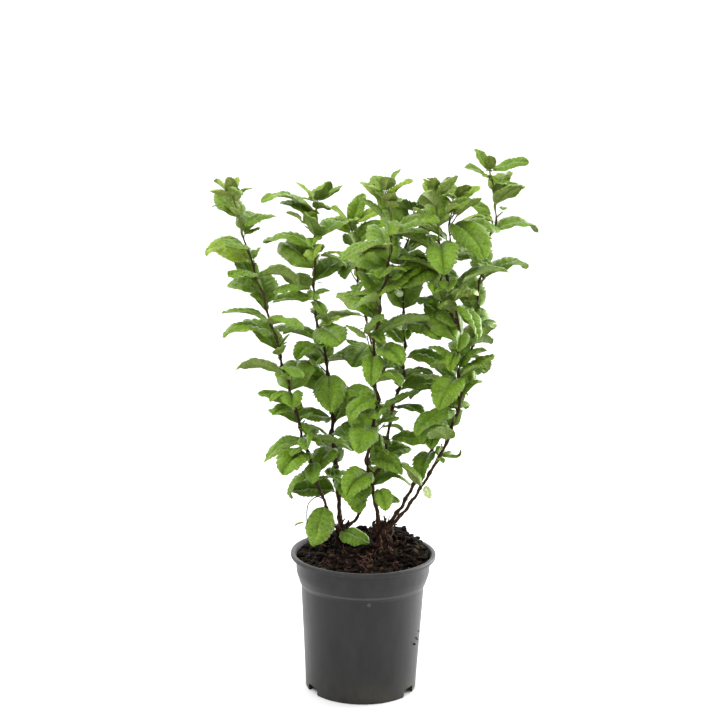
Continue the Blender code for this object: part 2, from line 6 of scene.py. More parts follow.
import json
import math
import random

import bpy
from mathutils import Matrix, Vector, noise
from mathutils.bvhtree import BVHTree

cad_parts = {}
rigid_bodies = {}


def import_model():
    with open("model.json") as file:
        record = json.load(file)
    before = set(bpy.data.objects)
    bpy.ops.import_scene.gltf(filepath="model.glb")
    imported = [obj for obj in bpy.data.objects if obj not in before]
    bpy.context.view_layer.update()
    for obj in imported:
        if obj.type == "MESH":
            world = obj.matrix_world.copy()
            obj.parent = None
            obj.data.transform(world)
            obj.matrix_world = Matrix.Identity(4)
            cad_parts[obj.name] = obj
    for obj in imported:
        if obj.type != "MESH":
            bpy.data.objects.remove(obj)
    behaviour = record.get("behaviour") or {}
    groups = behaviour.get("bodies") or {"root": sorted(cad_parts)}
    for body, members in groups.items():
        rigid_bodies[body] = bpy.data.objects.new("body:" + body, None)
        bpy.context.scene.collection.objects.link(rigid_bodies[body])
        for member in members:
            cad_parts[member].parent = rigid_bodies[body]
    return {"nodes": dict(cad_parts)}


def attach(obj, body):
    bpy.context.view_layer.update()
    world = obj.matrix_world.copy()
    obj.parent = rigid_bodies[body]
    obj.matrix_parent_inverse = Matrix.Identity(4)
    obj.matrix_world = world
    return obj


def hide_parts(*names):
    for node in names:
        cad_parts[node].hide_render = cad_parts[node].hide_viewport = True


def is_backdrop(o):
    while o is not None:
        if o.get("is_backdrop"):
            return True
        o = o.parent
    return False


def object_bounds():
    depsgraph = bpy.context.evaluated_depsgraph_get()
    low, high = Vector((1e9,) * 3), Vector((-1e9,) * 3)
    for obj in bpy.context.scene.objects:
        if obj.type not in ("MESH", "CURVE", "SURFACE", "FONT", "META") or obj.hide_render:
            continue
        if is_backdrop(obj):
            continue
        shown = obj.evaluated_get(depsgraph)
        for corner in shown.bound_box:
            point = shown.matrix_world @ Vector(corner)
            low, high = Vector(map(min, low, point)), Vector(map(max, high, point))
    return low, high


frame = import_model()
cad_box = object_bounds()


# The pot: one thin shell of black polypropylene, injection moulded, with a thin lip, a
# collar that draws in to a narrow step, and a foot skirt with three drainage notches. It is
# satin, scuffed, and dusty with dried soil round the lip. A pale band along the ledge under the
# collar is a painted highlight, not dust.

MM = 0.001
UP = Vector((0.0, 0.0, 1.0))
CLEAR = 0.3
POT_SIDES = 160
WALL = 1.2
FLOOR_LEVEL = 10.5
FLOOR_THICKNESS = 1.5
PAD_RADIUS = 42.0
CHANNEL_HEIGHT = 9.0
FOOT_RADIUS = 57.6
WALL_TOP_RADIUS = 63.8
STEP_FOOT = 111.5
COLLAR_FOOT = 115.5
COLLAR_MIDDLE = 125.0
COLLAR_RADIUS = 66.0
LIP_FOOT = 141.0
RIM_RADIUS = 75.0
RIM_TOP = 145.5
FILLET_STEPS = 4
FILLET_SHARE = 0.45
POT_WARP = 0.35
POT_WAVES = ((2.0, 0.7, 1.0), (5.0, 2.1, 0.5))
NOTCH_ANGLES = (-150.0, -30.0, 90.0)
NOTCH_HALF_ANGLE = 9.0
NOTCH_HEIGHT = 8.0
NOTCH_CORNER = 2.5
NOTCH_PAST = 4.0
# The small round moulding mark: its angle and height, its radius and how proud it stands, and
# the shares of both at each of its rings.
SPRUE_AT = (-84.0, 109.4)
SPRUE_SIZE = (2.0, 0.55)
SPRUE_SIDES = 12
SPRUE_RINGS = ((1.0, -0.6), (1.0, 0.5), (0.75, 0.9), (0.4, 0.7), (0.15, 0.72))
PLASTIC = (0.0036, 0.0038, 0.0042)
PLASTIC_WORN = (0.0078, 0.0079, 0.0080)
SPRUE_WORN = (0.030, 0.030, 0.031)
SPRUE_RUBBED = (0.055, 0.055, 0.055)
SOIL_FILM = (0.026, 0.023, 0.014)
# The dust colour, also used for the painted highlight along the ledge under the collar.
DUST_AND_PAINTED_HIGHLIGHT = (0.15, 0.145, 0.135)
SPLASHED = (4.0, 34.0)


class Value:
    """A number that varies over a surface: arithmetic on it adds the Math nodes."""

    def __init__(self, graph, socket):
        self.graph = graph
        self.socket = socket

    def math(self, operation, *terms):
        return self.graph.node("Math", {"operation": operation}, dict(enumerate(terms)))

    def __add__(self, other):
        return self.math("ADD", self, other)

    def __sub__(self, other):
        return self.math("SUBTRACT", self, other)

    def __rsub__(self, other):
        return self.math("SUBTRACT", other, self)

    def __mul__(self, other):
        return self.math("MULTIPLY", self, other)

    def __pow__(self, other):
        return self.math("POWER", self, other)

    __radd__, __rmul__ = __add__, __mul__

    def between(self, low, high):
        """0 below low, 1 above high, and even between them."""
        sockets = {"Value": self, "From Min": low, "From Max": high}
        return self.graph.node("MapRange", {"clamp": True}, sockets)


class Graph:
    """The nodes of one material or of the room."""

    def __init__(self, tree):
        self.tree = tree

    def node(self, kind, settings=None, sockets=None, out=0):
        """Any node: its settings go first, then its sockets take their values or links."""
        node = self.tree.nodes.new("ShaderNode" + kind)
        for setting, value in (settings or {}).items():
            setattr(node, setting, value)
        for key, value in (sockets or {}).items():
            self.feed(self.find(node.inputs, key), value)
        return Value(self, self.find(node.outputs, out))

    @staticmethod
    def find(sockets, key):
        if isinstance(key, int):
            return sockets[key]
        return next(s for s in sockets if key in (s.identifier, s.name))

    def feed(self, socket, value):
        if isinstance(value, Value):
            self.tree.links.new(value.socket, socket)
        elif isinstance(value, tuple) and socket.type == "RGBA":
            socket.default_value = (*value, 1.0)
        else:
            socket.default_value = value


class Finish(Graph):
    """A material on one Principled shader, with the nodes that feed it."""

    def __init__(self, name, sheen):
        self.material = bpy.data.materials.new(name)
        self.material.use_nodes = True
        super().__init__(self.material.node_tree)
        self.shader = self.tree.nodes["Principled BSDF"].inputs
        self.feed(self.shader["Specular IOR Level"], sheen)
        self.place = self.node("TexCoord", out="Object")

    def noise(self, size, detail=3.0, stretch=(1.0, 1.0, 1.0), low=0.35, high=0.65):
        """Cloudy noise with blobs about size mm across, spread out over 0 to 1."""
        at = self.node("Mapping", {}, {"Vector": self.place, "Scale": stretch})
        sockets = {"Vector": at, "Scale": 1.0 / (size * MM), "Detail": detail}
        return self.node("TexNoise", {}, sockets).between(low, high)

    def height(self):
        """Height over the floor in mm."""
        return self.node("SeparateXYZ", {}, {0: self.place}, out="Z") * (1.0 / MM)

    def blend(self, mask, start, end):
        """One colour where the mask is 0 and the other where it is 1."""
        sockets = {"Factor_Float": mask, "A_Color": start, "B_Color": end}
        return self.node("Mix", {"data_type": "RGBA"}, sockets, out="Result_Color")

    def wear(self, colour, roughness, bump=None, depth=0.1):
        """Feed what varies over the surface: colour, roughness and a bump that deep in mm."""
        self.feed(self.shader["Base Color"], colour)
        self.feed(self.shader["Roughness"], roughness)
        if bump is not None:
            sockets = {"Height": bump, "Strength": 1.0, "Distance": depth * MM}
            self.feed(self.shader["Normal"], self.node("Bump", {}, sockets))
        return self.material


def clamp(value, low, high):
    return max(low, min(high, value))


def outward(angle):
    return Vector((math.cos(math.radians(angle)), math.sin(math.radians(angle)), 0.0))


def smooth(mesh, angle):
    """Shade a mesh smooth, save for edges sharper than the angle."""
    mesh.shade_smooth()
    mesh.set_sharp_from_angle(angle=math.radians(angle))


def make_piece(name, verts, faces, finishes, numbers=None, smooth_angle=None):
    """A mesh object from points in millimetres, numbers telling each face's finish."""
    mesh = bpy.data.meshes.new(name)
    mesh.from_pydata([tuple(v * MM) for v in verts], [], faces)
    for finish in finishes:
        mesh.materials.append(finish)
    if numbers:
        mesh.polygons.foreach_set("material_index", numbers)
    piece = bpy.data.objects.new(name, mesh)
    bpy.context.scene.collection.objects.link(piece)
    if smooth_angle is not None:
        smooth(mesh, smooth_angle)
    return piece


def ring_solid(rings):
    """Points and faces of a closed solid skinned over rings of equal count."""
    sides = len(rings[0])
    verts = [p for ring in rings for p in ring]
    faces = [tuple(range(sides - 1, -1, -1))]
    for r in range(len(rings) - 1):
        for i in range(sides):
            j = (i + 1) % sides
            faces.append((r * sides + i, r * sides + j, (r + 1) * sides + j, (r + 1) * sides + i))
    last = (len(rings) - 1) * sides
    faces.append(tuple(last + i for i in range(sides)))
    return verts, faces


def turned_solid(profile, sides):
    """A profile of (radius, height) turned about Z, its first and last points on the axis."""
    verts = [Vector((0.0, 0.0, profile[0][1]))]
    for radius, height in profile[1:-1]:
        for i in range(sides):
            verts.append(outward(360.0 * i / sides) * radius + UP * height)
    verts.append(Vector((0.0, 0.0, profile[-1][1])))
    rings = len(profile) - 2
    faces = []
    for i in range(sides):
        j = (i + 1) % sides
        faces.append((0, 1 + j, 1 + i))
        for r in range(rings - 1):
            low = 1 + r * sides
            faces.append((low + i, low + j, low + sides + j, low + sides + i))
        top = 1 + (rings - 1) * sides
        faces.append((top + i, top + j, len(verts) - 1))
    return verts, faces


def filleted(corners):
    """A profile whose corners (radius, height, fillet) are each rounded by their fillet."""
    line = []
    for k, (radius, height, fillet) in enumerate(corners):
        here = Vector((radius, height))
        if not fillet:
            line.append((radius, height))
            continue
        before = Vector(corners[k - 1][:2]) - here
        after = Vector(corners[k + 1][:2]) - here
        start = here + before.normalized() * min(fillet, FILLET_SHARE * before.length)
        end = here + after.normalized() * min(fillet, FILLET_SHARE * after.length)
        for step in range(FILLET_STEPS + 1):
            t = step / FILLET_STEPS
            line.append(tuple(start * (1 - t) ** 2 + here * 2 * t * (1 - t) + end * t ** 2))
    return line


def warped(point):
    """Moulded pots are never quite round: the wall wanders, most of all at the rim."""
    angle = math.atan2(point.y, point.x)
    sway = sum(share * math.sin(turns * angle + shift) for turns, shift, share in POT_WAVES)
    slack = POT_WARP * (point.z / RIM_TOP) ** 2 * sway
    around = Vector((point.x, point.y, 0.0))
    return point + around.normalized() * slack if around.length > 1.0 else point


skirt_inner = FOOT_RADIUS - 2.0 * WALL
pad_inner = PAD_RADIUS - WALL
# The wall's outline, up the outside and down the inside: radius, height and fillet.
pot_line = filleted([
    (0.0, 0.0, 0.0), (PAD_RADIUS, 0.0, 0.8), (PAD_RADIUS, CHANNEL_HEIGHT, 0.8),
    (skirt_inner, CHANNEL_HEIGHT, 0.8), (skirt_inner, 0.0, 0.5), (FOOT_RADIUS, 0.0, 0.9),
    (FOOT_RADIUS + 0.1, 3.0, 0.6), (WALL_TOP_RADIUS, STEP_FOOT, 0.9),
    (COLLAR_RADIUS, COLLAR_FOOT, 0.7), (COLLAR_RADIUS + 0.1, COLLAR_FOOT + 1.4, 0.6),
    (69.0, COLLAR_MIDDLE, 5.0), (69.6, LIP_FOOT, 0.8), (RIM_RADIUS, LIP_FOOT, 1.3),
    (RIM_RADIUS, RIM_TOP, 1.6), (71.0, RIM_TOP, 1.3), (69.9, 143.4, 0.8), (68.4, 140.5, 1.0),
    (67.8, COLLAR_MIDDLE, 4.0), (64.8, COLLAR_FOOT, 1.0), (62.6, STEP_FOOT, 1.0),
    (FOOT_RADIUS + 0.5 - WALL, FLOOR_LEVEL, 0.5), (pad_inner, FLOOR_LEVEL, 0.8),
    (pad_inner, FLOOR_THICKNESS, 0.5), (0.0, FLOOR_THICKNESS, 0.0)])
verts, faces = turned_solid(pot_line, POT_SIDES)

plastic = Finish("pot_plastic", 0.33)
height = plastic.height()
scuffs = plastic.noise(14.0, 5.0, (1.0, 1.0, 0.35))
grains = plastic.noise(1.1, 2.0, low=0.56, high=0.66)
clouds = plastic.noise(9.0, 4.0, (1.0, 1.0, 0.5), 0.45, 0.75)
near_lip = height.between(STEP_FOOT + 0.5, RIM_TOP + 0.5)
dust = (grains * 0.35 + clouds * 0.65) * (near_lip ** 2.0 * 0.09 + 0.02)
# Painted highlight: a pale band of the dust colour along the ledge under the collar stands in for the light
# that the ledge's edge catches. It is not dust.
painted_highlight_cutoff = height.between(COLLAR_FOOT + 1.1, COLLAR_FOOT + 2.1)
painted_ledge_highlight = height.between(COLLAR_FOOT - 1.1, COLLAR_FOOT + 0.1) * (1.0 - painted_highlight_cutoff)
on_lip = height.between(LIP_FOOT - 1.5, LIP_FOOT + 2.0)
film = (1.0 - height.between(*SPLASHED)) * plastic.noise(20.0, 4.0) * 0.7
colour = plastic.blend(scuffs, PLASTIC, PLASTIC_WORN)
colour = plastic.blend(film, colour, SOIL_FILM)
# Real dust round the lip, and the painted highlight on the ledge, in the same pale colour.
colour = plastic.blend(dust + on_lip * 0.03 + painted_ledge_highlight * 0.20, colour, DUST_AND_PAINTED_HIGHLIGHT)
matt = scuffs * 0.08 + dust * 0.4 + on_lip * 0.16 + 0.36
pebbled = plastic.noise(0.7, 2.0) * 0.4 + plastic.noise(5.0, 3.0, (1.0, 1.0, 0.25)) * 0.6
plastic_skin = plastic.wear(colour, matt, pebbled, 0.07)

pot = make_piece("pot_shell", [warped(v) for v in verts], faces, [plastic_skin])
half = math.radians(NOTCH_HALF_ANGLE) * FOOT_RADIUS
notch_line = [(-half, -1.0), (half, -1.0), (half, NOTCH_HEIGHT - NOTCH_CORNER),
              (half - NOTCH_CORNER, NOTCH_HEIGHT), (NOTCH_CORNER - half, NOTCH_HEIGHT),
              (-half, NOTCH_HEIGHT - NOTCH_CORNER)]
notches = bpy.data.collections.new("notches")
for k, angle in enumerate(NOTCH_ANGLES):
    aside = outward(angle + 90.0)
    rings = [[outward(angle) * (radius + NOTCH_PAST) + aside * x + UP * z for x, z in notch_line]
             for radius in (PAD_RADIUS, FOOT_RADIUS)]
    notches.objects.link(make_piece("notch_cutter_%d" % k, *ring_solid(rings), [plastic_skin]))
cut = pot.modifiers.new("notches", "BOOLEAN")
cut.operation, cut.operand_type = "DIFFERENCE", "COLLECTION"
cut.collection, cut.solver = notches, "MANIFOLD"
bpy.context.view_layer.update()
evaluated = pot.evaluated_get(bpy.context.evaluated_depsgraph_get())
notched = bpy.data.meshes.new_from_object(evaluated)
pot.modifiers.remove(cut)
pot.data = notched
for cutter in list(notches.objects):
    bpy.data.objects.remove(cutter, do_unlink=True)
bpy.data.collections.remove(notches)
smooth(notched, 35.0)
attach(pot, "root")
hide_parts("pot")

sprue_radius, sprue_proud = SPRUE_SIZE
sprue_face = outward(SPRUE_AT[0])
sprue_centre = sprue_face * (WALL_TOP_RADIUS - 0.3) + UP * SPRUE_AT[1]
sprue_aside = outward(SPRUE_AT[0] + 90.0)
rings = []
for share, proud in SPRUE_RINGS:
    centre = sprue_centre + sprue_face * sprue_proud * proud
    spokes = [outward(360.0 * i / SPRUE_SIDES) * sprue_radius * share for i in range(SPRUE_SIDES)]
    rings.append([centre + sprue_aside * spoke.x + UP * spoke.y for spoke in spokes])
sprue_finish = Finish("sprue_plastic", 0.28)
rubbed = sprue_finish.noise(1.2, 3.0)
colour = sprue_finish.blend(rubbed, SPRUE_WORN, SPRUE_RUBBED)
sprue_skin = sprue_finish.wear(colour, rubbed * 0.1 + 0.4, rubbed, 0.05)
sprue = make_piece("pot_sprue_mark", *ring_solid(rings), [sprue_skin], smooth_angle=50.0)
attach(sprue, "root")
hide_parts("pot")


# The compost: damp, brown-black bark and peat that fills the pot, heaped at the back right,
# with loose chips of bark, reddish fibres, pale specks of grit and a little moss by the lip.

COMPOST_EDGE = 139.0
COMPOST_DOME = 6.0
COMPOST_RADIUS = 67.2
# The heap at the back right and the mound round the crowns: place, height and spread.
HEAP = (30.0, 30.0, 8.0, 20.0)
MOUND = (8.0, 0.0, 6.0, 24.0)
SOIL_SIDES = 180
SOIL_RINGS = 64
SOIL_LUMPS = ((12.0, 2.2), (5.0, 3.4), (2.4, 2.2), (1.3, 1.0))
CALM_RUN = 6.0
LEAST_LUMPS = 0.3
BRIM_FILL = 9.0
BRIM_FROM = 28.0
BRIM_RUN = 26.0
BRIM_TOWARDS = 62.0
BRIM_SPREAD = 95.0
SOIL_DARK = (0.0020, 0.0014, 0.0011)
SOIL_BROWN = (0.017, 0.0092, 0.0055)
SOIL_OLIVE = (0.026, 0.019, 0.009)
CROWN_FEET = ((Vector((-20.0, 12.0)), 8.0), (Vector((22.0, -8.0)), 13.0))
CHIP_REACH = 66.0
CHIP_SLIMNESS = (0.4, 0.9)
CHIP_FLATNESS = (0.25, 0.6)
MOSS_SIDES = (-158.0, -158.0, 14.0)
MOSS_SPREAD = 16.0
MOSS_BELT = (52.0, 67.0)
FIBRES_SPREAD = 110
FIBRES_HEAPED = 46


def mounded(x, y, at_x, at_y, height, spread):
    """How much a round mound raises the compost at a spot."""
    return height * math.exp(-0.5 * ((x - at_x) ** 2 + (y - at_y) ** 2) / spread ** 2)


def soil_swell(x, y):
    """The compost's broad shape: a low dome with one heap."""
    away = min(1.0, math.hypot(x, y) / COMPOST_RADIUS)
    heap = mounded(x, y, *HEAP) * (1.0 - away ** 6)
    return COMPOST_EDGE + COMPOST_DOME * (1.0 - away ** 2) + heap


def soil_height(x, y):
    """The lumpy surface, calmer where the woody crowns stand."""
    calm = 1.0
    for foot, radius in CROWN_FEET:
        away = (Vector((x, y)) - foot).length - radius
        calm = min(calm, clamp(away / CALM_RUN, 0.0, 1.0))
    lumps = sum(depth * noise.noise(Vector((x, y, width)) / width) for width, depth in SOIL_LUMPS)
    aside = math.degrees(math.atan2(y, x)) - BRIM_TOWARDS
    aside = abs((aside + 180.0) % 360.0 - 180.0) / BRIM_SPREAD
    brim = BRIM_FILL * clamp((math.hypot(x, y) - BRIM_FROM) / BRIM_RUN, 0.0, 1.0)
    brim *= max(0.0, 1.0 - aside ** 3)
    shown = LEAST_LUMPS + (1.0 - LEAST_LUMPS) * calm
    return soil_swell(x, y) + brim + mounded(x, y, *MOUND) + lumps * shown


def on_soil(spot):
    return Vector((spot.x, spot.y, soil_height(spot.x, spot.y)))


soil_line = [(0.0, FLOOR_THICKNESS + CLEAR), (pad_inner - CLEAR, FLOOR_THICKNESS + CLEAR),
             (pad_inner - CLEAR, FLOOR_LEVEL + CLEAR), (FOOT_RADIUS - 1.0, FLOOR_LEVEL + CLEAR),
             (62.2, STEP_FOOT), (64.4, COLLAR_FOOT), (67.4, COLLAR_MIDDLE)]
soil_walls = len(soil_line)
soil_line += [(COMPOST_RADIUS * (1.0 - k / SOIL_RINGS), 0.0) for k in range(SOIL_RINGS + 1)]
verts, faces = turned_solid(soil_line, SOIL_SIDES)
for vert in verts[1 + (soil_walls - 1) * SOIL_SIDES:]:
    vert.z = soil_height(vert.x, vert.y)

damp = Finish("compost_damp", 0.05)
clods = damp.noise(5.0, 6.0, low=0.38, high=0.66)
crumbs = damp.noise(1.3, 4.0, low=0.40, high=0.62)
colour = damp.blend(clods * 0.5 + crumbs * 0.5, SOIL_DARK, SOIL_BROWN)
colour = damp.blend(damp.noise(22.0, 3.0, low=0.46, high=0.60) * crumbs, colour, SOIL_OLIVE)
damp_skin = damp.wear(colour, 0.95 - clods * 0.25, crumbs, 0.7)
soil = make_piece("compost_bed", verts, faces, [damp_skin], smooth_angle=50.0)
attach(soil, "root")
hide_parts("compost")


def flecked(name, colour, worn, roughness, sheen, size=2.0):
    """A finish for small loose things: two near tones, a rough skin and a fine relief."""
    finish = Finish(name, sheen)
    flecks = finish.noise(size, 4.0)
    fine = finish.noise(0.35 * size, 3.0)
    return finish.wear(finish.blend(flecks, colour, worn), fine * 0.15 + roughness, fine, 0.15)


def joined(solids):
    """Many solids as the points and faces of one mesh."""
    verts, faces = [], []
    for points, polygons in solids:
        first = len(verts)
        verts += points
        faces += [tuple(first + i for i in polygon) for polygon in polygons]
    return verts, faces


def joined_piece(name, solids, skin, smooth_angle=None):
    return make_piece(name, *joined(solids), [skin], smooth_angle=smooth_angle)


def any_vector(rng, low, high):
    return Vector([rng.uniform(low, high) for _ in range(3)])


def chip(rng, at, size, slimness, flatness):
    """One broken bit of bark: an uneven block with its corners knocked about."""
    turn = Matrix.Rotation(rng.uniform(0.0, math.tau), 3, "Z")
    tilt = Matrix.Rotation(rng.uniform(-0.6, 0.6), 3, Vector((rng.random(), rng.random(), 0.1)))
    half = Vector((size, size * slimness, size * flatness)) * 0.5
    rings = []
    for x, narrow in ((-1.0, 0.6), (-0.4, 1.0), (0.35, 0.9), (1.0, 0.5)):
        ring = []
        for y, z in ((-1.0, -0.6), (0.7, -1.0), (1.0, 0.5), (-0.2, 1.0), (-1.0, 0.5)):
            corner = Vector((x, y * narrow, z * narrow)) * half * any_vector(rng, 0.7, 1.15)
            ring.append(at + turn @ (tilt @ corner))
        rings.append(ring)
    return ring_solid(rings)


def spot_in_pot(rng):
    away, angle = CHIP_REACH * math.sqrt(rng.random()), rng.uniform(0.0, 360.0)
    return on_soil(outward(angle) * away)


# Each kind of chip: its tones, its roughness, how many, and the least and greatest length.
CHIP_KINDS = {
    "black": ((0.0022, 0.0015, 0.0012), (0.010, 0.0058, 0.0036), 0.8, 620, (2.5, 13.0)),
    "brown": ((0.024, 0.0125, 0.0065), (0.065, 0.036, 0.019), 0.8, 150, (2.2, 9.5)),
    "rusty": ((0.045, 0.017, 0.009), (0.120, 0.050, 0.025), 0.8, 54, (2.0, 5.5)),
    "pale": ((0.180, 0.140, 0.105), (0.380, 0.330, 0.270), 0.80, 24, (0.9, 2.6)),
    "mossy": ((0.022, 0.030, 0.008), (0.070, 0.080, 0.026), 0.95, 110, (1.5, 3.8)),
}
rng = random.Random(11)
for kind, (colour, worn, roughness, count, sizes) in CHIP_KINDS.items():
    skin = flecked("chip_" + kind, colour, worn, roughness, 0.06)
    chips = []
    for _ in range(count):
        spot = spot_in_pot(rng)
        if kind == "mossy":
            angle = rng.gauss(rng.choice(MOSS_SIDES), MOSS_SPREAD)
            spot = on_soil(outward(angle) * rng.uniform(*MOSS_BELT))
        size = rng.triangular(*sizes, sizes[0])
        shape = rng.uniform(*CHIP_SLIMNESS), rng.uniform(*CHIP_FLATNESS)
        chips.append(chip(rng, spot + UP * 0.2 * size, size, *shape))
    loose = joined_piece("compost_chips_" + kind, chips, skin)
    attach(loose, "root")
    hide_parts("compost")


def limb_rings(points, radii, sides, relief=0.0, grain=2.0):
    """Rings round a line of points, untwisted, with bark relief as a share of the radius."""
    rings = []
    across = None
    for k, point in enumerate(points):
        along = (points[min(k + 1, len(points) - 1)] - points[max(k - 1, 0)]).normalized()
        if across is None:
            across = along.orthogonal().normalized()
        across = (across - along * across.dot(along)).normalized()
        over = along.cross(across)
        ring = []
        for i in range(sides):
            a = math.tau * i / sides
            spoke = across * math.cos(a) + over * math.sin(a)
            swell = 1.0
            if relief:
                at = point + spoke * radii[k]
                coarse = noise.noise(at / (2.5 * grain))
                fissure = noise.noise(Vector((at.x, at.y, 0.3 * at.z)) / grain)
                swell += relief * (coarse + fissure)
            ring.append(point + spoke * radii[k] * swell)
        rings.append(ring)
    return rings


def limb(*shape):
    """One closed limb, by the same sizes as its rings."""
    return ring_solid(limb_rings(*shape))


def thread(rng, at, length, radius, rise):
    """A fine root or fibre that lies or stands in an idle curve."""
    heading = outward(rng.uniform(0.0, 360.0)) + UP * rise
    points = [at]
    for _ in range(6):
        heading = (heading + any_vector(rng, -0.5, 0.5)).normalized()
        points.append(points[-1] + heading * length / 6.0)
    return limb(points, [radius * (1.0 - 0.08 * k) for k in range(7)], 4)


fibre_skin = flecked("fibre", (0.050, 0.018, 0.011), (0.160, 0.080, 0.055), 0.75, 0.3)
fibres = []
for _ in range(FIBRES_SPREAD):
    at = spot_in_pot(rng) + UP * 0.6
    fibres.append(thread(rng, at, rng.uniform(4.0, 12.0), rng.uniform(0.16, 0.38), 0.15))
for _ in range(FIBRES_HEAPED):
    at = on_soil(Vector((rng.gauss(4.0, 9.0), rng.gauss(-32.0, 12.0), 0.0))) + UP * 0.8
    fibres.append(thread(rng, at, rng.uniform(4.0, 10.0), rng.uniform(0.22, 0.5), 0.35))
fibre_piece = joined_piece("compost_fibres", fibres, fibre_skin, 60.0)
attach(fibre_piece, "root")
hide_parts("compost")

# A few crumbs of compost that stick to the wall on the right, each by its angle, its height
# and its size.
CRUMBS = ((-26.2, 55.0, 2.6), (-22.5, 60.5, 1.8), (-19.0, 57.5, 1.4), (-16.5, 66.0, 1.6))
crumb_skin = flecked("crumb", (0.006, 0.0045, 0.003), (0.022, 0.015, 0.010), 0.9, 0.2)
crumb_solids = []
for angle, level, size in CRUMBS:
    wall_here = FOOT_RADIUS + (WALL_TOP_RADIUS - FOOT_RADIUS) * level / STEP_FOOT
    at = outward(angle) * (wall_here + 0.2 * size) + UP * level
    crumb_solids.append(chip(rng, at, size, 1.0, 1.0))
crumbs_piece = joined_piece("compost_crumbs", crumb_solids, crumb_skin)
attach(crumbs_piece, "root")
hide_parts("compost")


# The woody crowns: two knobbly stools of old wood at soil level, grey-brown and fissured,
# with the stubs of shoots that were cut or broken off. Every cane springs from one of them.

# Each crown: its foot, its top, its radii at the flare, the waist and the neck, how many strips
# of peeling bark and snags it carries, and its stubs, each by its points and its radii there.
CROWNS = {
    "left_crown": {
        "foot": (-20.0, 12.0), "top": (-24.0, 14.0, 172.0), "radii": (9.5, 6.4, 5.2),
        "strips": 16, "snags": 9,
        "stubs": ((((-21, 13, 160), (-16, 10, 170), (-16, 9, 176)), (1.9, 1.5, 1.0)),
                  (((-22, 11, 152), (-27, 6, 157), (-28, 5, 160)), (1.6, 1.3, 1.0)))},
    "right_crown": {
        "foot": (22.0, -8.0), "top": (19.0, -7.0, 181.0), "radii": (12.0, 8.0, 10.0),
        "strips": 22, "snags": 17,
        "stubs": ((((22, -9, 172), (29, -12, 181), (31, -13, 190)), (1.5, 1.1, 0.8)),
                  (((18, -10, 170), (10, -14, 178), (11, -15, 183)), (2.2, 1.7, 1.2)),
                  (((27, -12, 158), (33, -18, 160), (35, -19, 164)), (2.6, 2.1, 1.5)),
                  (((15, -14, 156), (9, -20, 160), (7, -21, 166)), (2.3, 1.8, 1.3)),
                  (((20, -14, 166), (21, -21, 171), (21, -22, 176)), (2.0, 1.6, 1.1)))},
}
CROWN_SIDES = 64
CROWN_RINGS = 60
CROWN_SINK = 3.0
CROWN_KNOBS = ((9.0, 0.60), (4.2, 0.50), (1.7, 0.28))
CROWN_SLIM = 0.86
CROWN_DOME_FROM = 0.62
CROWN_DOME_RUN = 0.39
CROWN_TOP_LEAST = 0.04
SNAG_AROUND = (-40.0, 40.0)
SNAG_RISE = (0.6, 2.4)
SNAG_LENGTH = (3.0, 9.0)
SNAG_RADIUS = (0.7, 1.8)
STRIP_POINTS = (0.0, 0.3, 0.6, 1.0)
STRIP_RUN = (0.08, 0.28)
STRIP_TWIST = (-30.0, 30.0)
STRIP_RADIUS = (0.35, 0.95)
OLD_BARK = (0.0050, 0.0024, 0.0018)
OLD_BARK_WORN = (0.036, 0.016, 0.010)
STRIP_BARK = (0.022, 0.011, 0.007)
STRIP_BARK_WORN = (0.170, 0.105, 0.068)

old_bark = Finish("old_bark", 0.1)
strips = old_bark.noise(2.2, 4.0, (1.0, 1.0, 0.3))
patches = old_bark.noise(6.0, 5.0)
colour = old_bark.blend(strips * 0.5 + patches * 0.5, OLD_BARK, OLD_BARK_WORN)
old_bark_skin = old_bark.wear(colour, 0.9 - patches * 0.12, strips, 0.5)
strip_skin = flecked("bark_strip", STRIP_BARK, STRIP_BARK_WORN, 0.8, 0.2, 3.0)


class Route:
    """A smooth line through a cane's bends, measured along its length."""

    def __init__(self, bends, steps=12):
        bends = [Vector(b) for b in bends]
        ends = [bends[0] * 2 - bends[1]] + bends + [bends[-1] * 2 - bends[-2]]
        self.points = [bends[0]]
        for k in range(1, len(ends) - 2):
            for step in range(1, steps + 1):
                self.points.append(self.blend(ends[k - 1:k + 3], step / steps))
        self.reach = [0.0]
        for a, b in zip(self.points, self.points[1:]):
            self.reach.append(self.reach[-1] + (b - a).length)
        self.length = self.reach[-1]

    @staticmethod
    def blend(near, t):
        """One point of the Catmull-Rom curve between the middle two of four bends."""
        a, b, c, d = near
        bend, turn = 2 * a - 5 * b + 4 * c - d, 3 * b - a - 3 * c + d
        return 0.5 * (2 * b + (c - a) * t + bend * t ** 2 + turn * t ** 3)

    def at(self, distance):
        distance = clamp(distance, 0.0, self.length)
        k = 1
        while self.reach[k] < distance and k < len(self.reach) - 1:
            k += 1
        share = (distance - self.reach[k - 1]) / (self.reach[k] - self.reach[k - 1])
        return self.points[k - 1].lerp(self.points[k], share)

    def heading(self, distance):
        return (self.at(distance + 1.0) - self.at(distance - 1.0)).normalized()

    def at_height(self, height):
        """Distance along the route where it first rises past a height."""
        for k, point in enumerate(self.points):
            if point.z >= height:
                return self.reach[k]
        return self.length


def crown_body(crown):
    """The knobbly stool's skin: the point at a share of its height and an angle."""
    foot = Vector((*crown["foot"], soil_swell(*crown["foot"]) - CROWN_SINK))
    top = Vector(crown["top"])
    flare, waist, neck = (CROWN_SLIM * r for r in crown["radii"])

    def skin(share, angle):
        centre = foot.lerp(top, share)
        radius = waist + (neck - waist) * share + (flare - waist) * (1.0 - share) ** 5
        domed = clamp(share - CROWN_DOME_FROM, 0.0, 1.0) / CROWN_DOME_RUN
        radius *= math.sqrt(clamp(1.0 - domed ** 2, CROWN_TOP_LEAST, 1.0))
        spoke = outward(angle)
        at = centre + spoke * radius
        knob = 1.0
        for width, depth in CROWN_KNOBS:
            knob += depth * noise.noise(Vector((at.x, at.y, 0.6 * at.z)) / width)
        return centre + spoke * radius * knob

    return skin


